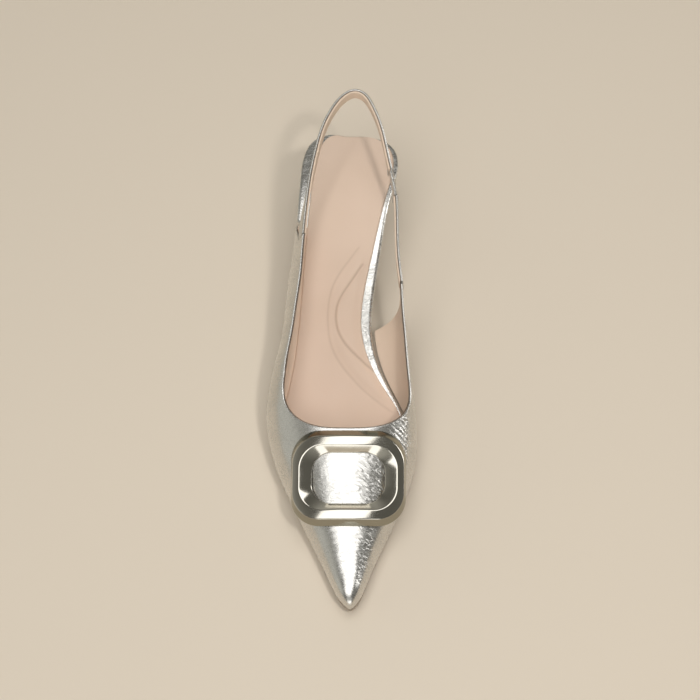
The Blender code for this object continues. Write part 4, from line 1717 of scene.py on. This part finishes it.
    def build(self) -> None:
        """Makes outsole, board, sock and the lining's foot."""
        tip = self.last.toe_tip + self.last.feather_lag - self.sole_show
        ends = SlabEnds(tip, self.breast - self.last.gap, False)
        heights = (self.sole_bottom, self.sole_top)
        sole = self.slab("outsole_leather", ends, self.sole_inset, heights, self.sole_round)
        sole.make(SOLE_LEATHER, Slot.SOLE, ["outsole"], SHARP)
        ends = SlabEnds(self.board_front, self.board_rear, True)
        heights = (self.last.bottom, self.board_top)
        board = self.slab("wrapped_board", ends, self.board_inset, heights, self.board_round)
        board.grid = self.skewed(self.wrinkled(board.grid))
        board.make(RIM_SILVER, Slot.SILVER, ["insole_board"])
        self.build_sock()
        self.build_lining_foot()


@dataclass
class Heel:
    """Slim covered heel and the tip under it."""

    last: Last
    bottom: Bottom
    shy: float = 0.5
    top_rear: float = 250.5
    cover_sharp: float = 50.0
    waves: Ripple = Ripple(9.0, 23, 0.04)
    wave_fade: float = 0.05
    tip_height: float = 5.2
    tip_bevel: float = 0.35
    tip_bevel_level: float = 0.07
    tip_top: float = 0.97
    rows: int = 70
    stations: int = 60

    def outlines(self, drops: Array) -> Array:
        """Closed outlines of the heel at shares of its drop. Seat outline and seat pitch shrink to the tip.

        Args:
            drops: shares from 0, the seat, to 1, the tip.

        Returns:
            The outlines as (drop, point, 3).
        """
        columns = (column(HEEL_TABLE, name, "drop") for name in ("front", "rear", "half"))
        front, rear, half = (spline(drops)[:, None] for spline in columns)
        breast = self.bottom.breast
        stations = crowded(breast, self.top_rear, self.stations)
        close = self.last.seat_close(stations, self.top_rear)
        sides = []
        for side in Side:
            inset = self.bottom.board_inset(side, stations) + self.shy
            width = side.value * (self.last.feather[side](stations) - inset) - self.last.seat_centre
            sides.append(width * close)
        stations = round_trip(stations, stations)
        across = self.last.seat_centre + round_trip(*sides) * half / HEEL_TABLE[0].half
        along = front + (stations - breast) / (self.top_rear - breast) * (rear - front)
        seat = self.bottom.sole_top(stations)
        low = self.tip_height + self.last.gap
        return np.stack([across, along, seat + (low - seat) * drops[:, None]], axis=-1)

    def build_cover(self) -> None:
        """The covered heel: its outlines from seat to tip, with a low waviness that fades at both ends."""
        drops = np.linspace(0.0, 1.0, self.rows)
        rows = self.bottom.skewed(self.outlines(drops), (1.0 - drops[:, None]) ** 2)
        middle = rows.mean(axis=1, keepdims=True)
        outwards = unit((rows - middle) * (1.0 - UPRIGHT))
        fade = within(drops, (0.0, 1.0), (self.wave_fade, self.wave_fade))[:, None]
        rows = rows + outwards * (self.waves.at(rows) * fade)[..., None]
        Surface("heel_cover", rows, capped=True).make(SILVER, Slot.SILVER, ["heel"], self.cover_sharp)

    def build_tip(self) -> None:
        """The tip: the heel's lowest outline carried down to the floor, with a bevel below."""
        top = self.outlines(np.ones(1))[0] - self.last.gap * UPRIGHT
        middle = top.mean(axis=0)
        levels = np.array([1.0, 1.0, self.tip_bevel_level, 0.0])[:, None]
        widths = np.array([self.tip_top, 1.0, 1.0, 1.0 - self.tip_bevel / HEEL_TABLE[-1].half])
        rows = middle + (top - middle) * widths[:, None, None]
        rows[..., 2] = top[:, 2] * levels
        Surface("heel_tip_rubber", rows, capped=True).make(TIP_RUBBER, Slot.TIP, ["heel_tip"], SHARP)

    def build(self) -> None:
        """Makes the covered heel and its tip."""
        self.build_cover()
        self.build_tip()


@dataclass
class Strap:
    """Sling strap, gathered gore and inner strap on one route."""

    upper: Upper
    height: float = 6.5
    thick: float = 2.3
    lean_length: float = 40.0
    butt: float = 0.6
    gap: float = 0.3
    sleeve: float = 1.6
    route_points: int = 900
    band_step: float = 0.7
    skin_thick: float = 1.24
    line_depth: float = 0.1
    line_in: float = 0.35
    line_width: float = 0.28
    skin_points: tuple[int, int] = (26, 9)
    lining_points: tuple[int, int] = (14, 7)
    lining_gap: float = 0.06
    lining_margin: float = 0.25
    seam: float = 0.2
    seam_depth: float = 0.42
    seam_points: int = 8
    gore_rear: float = 211.7
    gore_length: float = 12.4
    gore_height: float = 5.6
    gore_thick: float = 2.2
    gore_ease: float = 0.08
    gore_end_thick: float = 0.95
    gore_end_high: float = 1.08
    gore_waist: float = 0.1
    gore_sway: float = 0.14
    gore_rows: int = 240
    pleats: int = 11
    pleat_low: float = 0.62
    pleat_rise: float = 0.42
    pleat_reach: float = 0.04
    pleat_wander: Ripple = Ripple(3.0, 31, 0.35)
    pleat_cells: Pair = (12.0, 5.0)
    stitch_rows: Pair = (0.5, 1.3)
    stitch_count: int = 4
    stitch_top: float = 0.9
    stitch_foot: float = 1.9
    stitch_length: float = 1.05
    stitch_arch: float = 0.12
    stitch_inner_lift: float = 0.32
    stitch_steps: int = 7
    stitch_points: int = 6
    thread: float = 0.17
    thread_least: float = 0.05

    def __post_init__(self) -> None:
        """Lays the strap's upper edge as a dense line with its lean."""
        outer, outer_lean = self.wing_end(Side.OUTER, self.upper.outer_back)
        inner, inner_lean = self.wing_end(Side.INNER, self.upper.inner_end)
        beyond = np.array([0.0, self.butt, 0.0])
        guide = np.vstack([outer + beyond, np.array(STRAP_ROUTE), inner + beyond])
        chords = arcs(guide)
        fine = np.linspace(0.0, chords[-1], self.route_points)
        self.line = np.column_stack([Spline(chords, guide[:, k])(fine) for k in range(3)])
        self.lengths = arcs(self.line)
        self.lean = outer_lean * (1.0 - eased(self.lengths / self.lean_length))
        self.lean += inner_lean * (1.0 - eased((self.lengths[-1] - self.lengths) / self.lean_length))
        apex = int(np.argmax(self.line[:, 1]))
        self.gore_start = float(np.interp(-self.gore_rear, -self.line[apex:, 1], self.lengths[apex:]))
        self.gore_end = self.gore_start + self.gore_length

    def wing_end(self, side: Side, station: float) -> tuple[Array, float]:
        """Where the strap begins on a wing.

        Args:
            side: side of the foot.
            station: station of the wing's end.

        Returns:
            Middle of the wall's top edge there, and the wall's lean.
        """
        line = self.upper.wing(side, np.array([station]))
        length = arcs(line)[:, -1]
        foot = resample(line, length - self.height, length, np.zeros(1))[0, 0]
        top = line[0, -1]
        lean = math.atan2(side.value * (foot[0] - top[0]), top[2] - foot[2])
        inwards = np.array([-side.value * math.cos(lean), 0.0, -math.sin(lean)])
        return top + 0.5 * self.upper.wall * inwards, lean

    def frames(self, wanted: Array) -> Arrays:
        """Upper edge, up direction, inward direction and steepness factor at arc positions.

        Beyond its ends the route runs on straight.

        Args:
            wanted: arc positions.

        Returns:
            Edge points, up and through vectors as (position, 3), and one over the slope's run.
        """
        slope = np.gradient(self.line, self.lengths, axis=0)
        read = np.clip(wanted, 0.0, self.lengths[-1])
        edge = np.column_stack([np.interp(read, self.lengths, self.line[:, k]) for k in range(3)])
        along = np.column_stack([np.interp(read, self.lengths, slope[:, k]) for k in range(3)])
        edge = edge + along * (wanted - read)[:, None]
        flat = np.linalg.norm(along[:, :2], axis=1, keepdims=True)
        inwards = np.column_stack([along[:, 1], -along[:, 0], 0.0 * wanted]) / flat
        tilt = np.interp(read, self.lengths, self.lean)[:, None]
        up = UPRIGHT * np.cos(tilt) + inwards * np.sin(tilt)
        through = inwards * np.cos(tilt) - UPRIGHT * np.sin(tilt)
        return edge, up, through, 1.0 / flat

    def ribbon(self, wanted: Array, depth: Array, drop: Array) -> Array:
        """A section carried along the route.

        Args:
            wanted: arc positions.
            depth: how far inwards each section point lies, as (point) or (position, point).
            drop: how far below the upper edge each section point lies, in the same shape.

        Returns:
            The points as (position, point, 3).
        """
        edge, up, through, steep = self.frames(wanted)
        depth, drop = np.atleast_2d(depth, drop)
        return edge[:, None] + through[:, None] * depth[..., None] - up[:, None] * (drop * steep)[..., None]

    def section(self, height: float, thick: float, points: tuple, groove: float = 0.0) -> Arrays:
        """A band on edge with half round edges, and a Gaussian line pressed near each on its outer face.

        Args:
            height: height of the band.
            thick: thickness of the band.
            points: points down each face and on each half round edge.
            groove: depth of the pressed lines.

        Returns:
            Depth and drop of the section's points.
        """
        radius = 0.5 * thick
        down = np.linspace(radius, height - radius, points[0])
        distances = (down - radius, height - radius - down)
        lines = sum(hill((distance - self.line_in) / self.line_width) for distance in distances)
        turn = np.linspace(0.0, math.pi, points[1] + 2)[1:-1]
        across = radius * np.cos(turn)
        bulge = radius * np.sin(turn)
        depth = [groove * lines[::-1] - radius, -across, np.full(len(down), radius), across]
        drop = [down[::-1], radius - bulge, down, height - radius + bulge]
        return np.concatenate(depth), np.concatenate(drop)

    def build_band(self, name: str, start: float, end: float) -> None:
        """A leather band with its lining strip and a seam along both edges.

        Args:
            name: the CAD node that it stands for, and the pieces' first name.
            start: arc position where it begins.
            end: arc position where it ends.
        """
        wanted = np.linspace(start, end, int((end - start) / self.band_step))
        depth, drop = self.section(self.height, self.skin_thick, self.skin_points, self.line_depth)
        skin = self.ribbon(wanted, depth - 0.5 * (self.thick - self.skin_thick), drop)
        Surface(f"{name}_leather", skin, capped=True).make(SHADED_STRAP_SILVER, Slot.SILVER, [name])
        thick = self.thick - self.skin_thick - self.lining_gap
        depth, drop = self.section(self.height - 2.0 * self.lining_margin, thick, self.lining_points)
        lining = self.ribbon(wanted[1:-1], depth + 0.5 * (self.thick - thick), drop + self.lining_margin)
        Surface(f"{name}_lining", lining, capped=True).make(LIT_LINING_LEATHER, Slot.SOCK, [name])
        turn = circle(self.seam_points)
        depth = self.skin_thick - 0.5 * self.thick + self.seam * np.cos(turn)
        for label, level in (("upper", self.seam_depth), ("lower", self.height - self.seam_depth)):
            seam = self.ribbon(wanted[1:-1], depth, level + self.seam * np.sin(turn))
            Surface(f"{name}_{label}_seam", seam, capped=True).make(EDGE_PAINT, Slot.SOCK, [name])

    def build_gore(self) -> None:
        """The gathered gore: a band whose faces bulge between rows of pleats, narrow in the middle.

        A pleat's bulge is the size of a sine along the route, shifted a little down the band.
        """
        wanted = np.linspace(self.gore_start, self.gore_end, self.gore_rows)
        share = ((wanted - self.gore_start) / self.gore_length)[:, None]
        depth, drop = self.section(self.gore_height, self.gore_thick, self.skin_points)
        cells = (self.pleat_cells[0] * share, self.pleat_cells[1] * drop / self.gore_height, 0.0)
        wander = self.pleat_wander.at(np.stack(np.broadcast_arrays(*cells), axis=-1))
        pleat = np.abs(np.sin(math.pi * (self.pleats * share + wander)))
        inside = eased(np.minimum(share, 1.0 - share) / self.gore_ease)
        bulge = self.pleat_low + self.pleat_rise * pleat
        narrow = 1.0 - self.gore_waist * np.sin(math.pi * share) + self.pleat_reach * (pleat - 0.5)
        sway = self.gore_sway * np.sin(math.pi * self.pleats * share) * inside
        depth = depth * (bulge * inside + self.gore_end_thick * (1.0 - inside)) + sway
        spread = narrow * inside + self.gore_end_high * (1.0 - inside)
        drop = 0.5 * self.height + (drop - 0.5 * self.gore_height) * spread
        gore = Surface("gathered_gore", self.ribbon(wanted, depth, drop), capped=True)
        gore.make(GORE_SILVER, Slot.ELASTIC, ["elastic_gore"])

    def build_stitches(self, face: str, sign: float, lift: float) -> None:
        """Rows of thread across both ends of the gore: short arches, each a bent tube with closed ends.

        Args:
            face: name of the strap's face that they are on.
            sign: 1 on the inner face, -1 on the outer one.
            lift: how far they lie above half the strap's thickness.
        """
        near, far = self.stitch_rows
        rows = (self.gore_start - far, self.gore_start - near, self.gore_end + near, self.gore_end + far)
        starts = np.linspace(self.stitch_top, self.height - self.stitch_foot, self.stitch_count)
        edge, up, through, steep = self.frames(np.repeat(rows, self.stitch_count))
        share = np.linspace(0.0, 1.0, self.stitch_steps)
        drop = np.tile(starts, len(rows))[:, None] + self.stitch_length * share
        away = 0.5 * self.thick + lift + self.stitch_arch * np.sin(math.pi * share)
        outwards = sign * through[:, None] * away[:, None]
        spine = edge[:, None] + outwards - up[:, None] * (drop * steep)[..., None]
        turn = circle(self.stitch_points)[:, None]
        along = unit(np.cross(up, through))
        ring = through[:, None, None] * np.cos(turn) + along[:, None, None] * np.sin(turn)
        thread = self.thread * np.sqrt(np.clip(1.0 - (2.0 * share - 1.0) ** 4, self.thread_least, 1.0))
        tubes = spine[:, :, None] + ring * thread[:, None, None]
        stitches = Surface(f"gore_stitches_{face}", tubes, capped=True)
        stitches.make(THREAD, Slot.ELASTIC, ["elastic_gore"])

    def build(self) -> None:
        """Makes both straps, the gore and its stitches."""
        self.build_band("sling_strap", -self.sleeve, self.gore_start - self.gap)
        self.build_band("inner_strap", self.gore_end + self.gap, float(self.lengths[-1]) + self.sleeve)
        self.build_gore()
        self.build_stitches("outer", -1.0, 0.0)
        self.build_stitches("inner", 1.0, self.stitch_inner_lift)


@dataclass
class Buckle:
    """Bevelled rounded square frame on the vamp, open in the middle."""

    last: Last
    station: float = 60.6
    across: float = -1.2
    bend: float = 90.0
    reach: float = 25.0
    gap: float = 0.3
    bevel: float = 0.4
    bevel_most: float = 0.4
    bevel_steps: int = 5
    slope_top: int = 2
    slope_rows: int = 10
    pillow: float = 0.06
    shaded_wall_rows: int = 6
    under_rows: int = 7
    corner_steps: int = 30
    side_steps: int = 26

    def outline(self, edges: Array) -> Array:
        """Rounded rectangles, as (edge, point, 2): quarter circles joined by straight sides.

        Args:
            edges: wide, long and corner of each rectangle as rows.

        Returns:
            The closed outlines.
        """
        wide, long, corner = (edges[:, k, None] for k in range(3))
        quarter = np.linspace(0.0, 0.5 * math.pi, self.corner_steps)[None]
        corners = []
        for k, (right, rear) in enumerate(((1, -1), (1, 1), (-1, 1), (-1, -1))):
            turns = quarter + 0.5 * math.pi * (k - 1)
            x = right * (0.5 * wide - corner) + corner * np.cos(turns)
            y = rear * (0.5 * long - corner) + corner * np.sin(turns)
            corners.append(np.stack([x, y], axis=-1))
        parts = []
        share = np.linspace(0.0, 1.0, self.side_steps + 1)[1:-1][None, :, None]
        for arc, after in zip(corners, corners[1:] + corners[:1]):
            parts += [arc, arc[:, -1:] * (1.0 - share) + after[:, :1] * share]
        return np.concatenate(parts, axis=1)

    def profile(self) -> Array:
        """Rows of the frame: each edge with a small bevel, a parabola between two points near it.

        The inner slope is pillowed: a parabola lifts its middle.

        Returns:
            Wide, long, corner and level of each row.
        """
        edges = np.array(RING_EDGES)

        def near(other: Array) -> Array:
            """Points at the bevel's length from each edge towards another, within a share of the way."""
            length = np.maximum(np.hypot(0.5 * (other - edges)[:, 0], (other - edges)[:, 3]), TINY)
            return edges + (other - edges) * np.minimum(self.bevel / length, self.bevel_most)[:, None]

        t = np.linspace(0.0, 1.0, self.bevel_steps)[None, :, None]
        before = near(np.roll(edges, 1, axis=0))[:, None]
        after = near(np.roll(edges, -1, axis=0))[:, None]
        rows = parabola(before, edges[:, None], after, t)
        share = np.linspace(0.0, 1.0, self.slope_rows + 2)[1:-1, None]
        slope = rows[self.slope_top, -1] * (1.0 - share) + rows[self.slope_top + 1, 0] * share
        slope[:, 3] += self.pillow * 4.0 * share[:, 0] * (1.0 - share[:, 0])
        parts = list(rows)
        parts.insert(self.slope_top + 1, slope)
        return np.concatenate(parts)

    def solid(self, rows: Array) -> Array:
        """Outlines of rows at their level, less a parabola that bends the frame down to both sides.

        Args:
            rows: wide, long, corner and level of each row.

        Returns:
            The points as (row, point, 3).
        """
        outline = self.outline(rows)
        level = rows[:, 3, None] - outline[..., 0] ** 2 / (2.0 * self.bend)
        return np.concatenate([outline, level[..., None]], axis=-1)

    def place(self, rows: Array) -> Array:
        """Puts rows of the frame on the vamp, tilted to its ridge, with its underside clear by the gap.

        Args:
            rows: wide, long, corner and level of each row.

        Returns:
            The points as (row, point, 3).
        """
        ends = np.array([self.station - self.reach, self.station + self.reach])
        heights = self.last.ridge_height(Side.OUTER, ends)
        tilt = math.atan2(heights[1] - heights[0], ends[1] - ends[0])
        turn = np.array(Matrix.Rotation(tilt, 3, "X")).T
        edges = np.array(RING_EDGES)
        shares = np.linspace(0.0, 1.0, self.under_rows)[:, None]
        base = self.solid(edges[:1] * (1.0 - shares) + edges[-1:] * shares) @ turn
        across = self.across + base[..., 0]
        station = self.station + base[..., 1]
        outer, inner = (self.last.height(side, across, station) for side in Side)
        leather = np.where(across < self.last.ridge(station), outer, inner)
        lift = float((leather - base[..., 2]).max()) + self.gap
        return self.solid(rows) @ turn + np.array([self.across, self.station, lift])

    def build(self) -> None:
        """Makes the frame, with a mask of its outer wall for the painted shade there."""
        points = self.place(self.profile())
        # The mask of the outer wall, where the colour is darkened as painted shade.
        wall = np.zeros(points.shape[:2])
        wall[: self.shaded_wall_rows] = 1.0
        ring = Surface("buckle_frame", points, closed_along=True, masks={"wall": wall})
        ring.make(BUCKLE_METAL, Slot.BUCKLE, ["buckle_ring"], SHARP)


class Reach(Enum):
    """What a light shows on."""

    ALL = "all"
    SURFACES = "surfaces"
    MIRRORS = "mirrors"


class LightSpec(NamedTuple):
    """A soft light: where it hangs and aims in metres, its size, watts, tint and what it shows on."""

    name: str
    place: Triple
    aim: Triple
    size: Pair
    watts: float
    tint: Triple
    reach: Reach = Reach.ALL


WHITE = (1.0, 0.99, 0.975)
CREAM = (1.0, 0.985, 0.96)
WARM = (1.0, 0.975, 0.94)
OVERHEAD = (0.86, 1.7)
LIGHTS = (
    LightSpec("overhead_softbox", (-0.08, -0.3, 1.5), (0.0, -0.1, 0.0), OVERHEAD, 10.0, WHITE),
    LightSpec("overhead_fill", (-0.08, -0.3, 1.52), (0.0, -0.1, 0.0), OVERHEAD, 4.0, WHITE, Reach.SURFACES),
    LightSpec("right_key", (0.38, -0.49, 1.38), (0.0, 0.02, 0.03), (0.12, 0.12), 5.6, WARM, Reach.SURFACES),
    LightSpec("front_card", (0.0, -1.1, 0.24), (0.0, 0.0, 0.2), (0.8, 0.46), 1.9, WHITE, Reach.MIRRORS),
    LightSpec("right_card", (1.15, 0.16, 0.62), (0.0, -0.02, 0.03), (0.3, 1.0), 3.6, CREAM, Reach.MIRRORS),
)


@dataclass
class Studio:
    """Floor, soft lights and the camera at the photograph's angle."""

    eye: Triple = (43.58, -376.04, 1078.55)
    aim: Triple = (-2.9, 150.0, 0.0)
    focal_pixels: float = 2212.0
    picture: float = 700.0
    sensor: float = 36.0
    floor_half: float = 6.0
    wall_left: Triple = (0.58, 0.57, 0.515)
    wall_right: Triple = (0.17, 0.165, 0.15)
    side_fade: Pair = (-0.7, 0.7)
    corner: Triple = (0.14, 0.136, 0.12)
    corner_fade: Pair = (0.1, 0.8)
    ceiling_fade: Pair = (0.5, 0.92)

    def build(self) -> None:
        """Makes floor, world, lights and camera."""
        self.floor()
        self.world()
        for spec in LIGHTS:
            self.light(spec)
        self.camera()
        bpy.context.scene.view_settings.view_transform = "Standard"

    def floor(self) -> None:
        """A wide plane under the shoe."""
        half = self.floor_half
        corners = [(-half, -half, 0.0), (half, -half, 0.0), (half, half, 0.0), (-half, half, 0.0)]
        mesh = bpy.data.meshes.new("floor")
        mesh.from_pydata(corners, [], [(0, 1, 2, 3)])
        mesh.materials.append(FLOOR_PAPER.material())
        made = bpy.data.objects.new("floor", mesh)
        bpy.context.scene.collection.objects.link(made)

    def world(self) -> None:
        """A plain square room: four soft walls with dim corners, lighter on the left, and a dim ceiling."""
        world = bpy.data.worlds.new("studio")
        world.use_nodes = True
        graph = Graph(world.node_tree)
        heading = graph.add("ShaderNodeTexCoord").outputs["Generated"]
        parts = graph.add("ShaderNodeSeparateXYZ", {0: heading}).outputs
        squares = [graph.scaled(parts[axis], parts[axis]) for axis in ("X", "Y")]
        contrast = graph.math("ABSOLUTE", graph.math("SUBTRACT", *squares))
        total = graph.math("ADD", graph.math("ADD", *squares), TINY)
        wall = graph.ramp(graph.math("DIVIDE", contrast, total), self.corner_fade)
        low = graph.ramp(parts["Z"], self.ceiling_fade, (1.0, 0.0))
        lit = graph.mix(graph.ramp(parts["X"], self.side_fade), self.wall_left, self.wall_right)
        tone = graph.mix(graph.scaled(wall, low), self.corner, lit)
        graph.feed(world.node_tree.nodes["Background"], {"Color": tone})
        bpy.context.scene.world = world

    def light(self, spec: LightSpec) -> None:
        """Hangs a rectangular area light.

        Args:
            spec: what the light is.
        """
        data = bpy.data.lights.new(spec.name, "AREA")
        data.shape = "RECTANGLE"
        data.size, data.size_y = spec.size
        data.energy = spec.watts
        data.color = spec.tint
        made = bpy.data.objects.new(spec.name, data)
        made.location = spec.place
        made.rotation_euler = (Vector(spec.aim) - Vector(spec.place)).to_track_quat("-Z", "Y").to_euler()
        made.visible_glossy = spec.reach is not Reach.SURFACES
        made.visible_diffuse = spec.reach is not Reach.MIRRORS
        bpy.context.scene.collection.objects.link(made)

    def camera(self) -> None:
        """The photograph's eye point, turned sideways so that the one shoe fills the middle."""
        eye, aim = (Vector(to_world(np.array(point))) for point in (self.eye, self.aim))
        ahead = (aim - eye).normalized()
        up = Vector((1.0, 0.0, 0.0)).cross(ahead).normalized()
        right = ahead.cross(up).normalized()
        data = bpy.data.cameras.new("camera")
        data.sensor_width = self.sensor
        data.lens = self.focal_pixels * self.sensor / self.picture
        made = bpy.data.objects.new("camera", data)
        turn = Matrix((right, up, -ahead)).transposed().to_4x4()
        made.matrix_world = Matrix.Translation(eye) @ turn
        bpy.context.scene.collection.objects.link(made)
        bpy.context.scene.camera = made


def main() -> None:
    """Builds the shoe's pieces in order, then the studio round it."""
    logging.basicConfig(level=logging.INFO, format="%(name)s %(message)s")
    last = Last()
    upper = Upper(last)
    upper.build()
    bottom = Bottom(last)
    bottom.build()
    Heel(last, bottom).build()
    Strap(upper).build()
    Buckle(last).build()
    Studio().build()


if __name__ == "__main__":
    main()
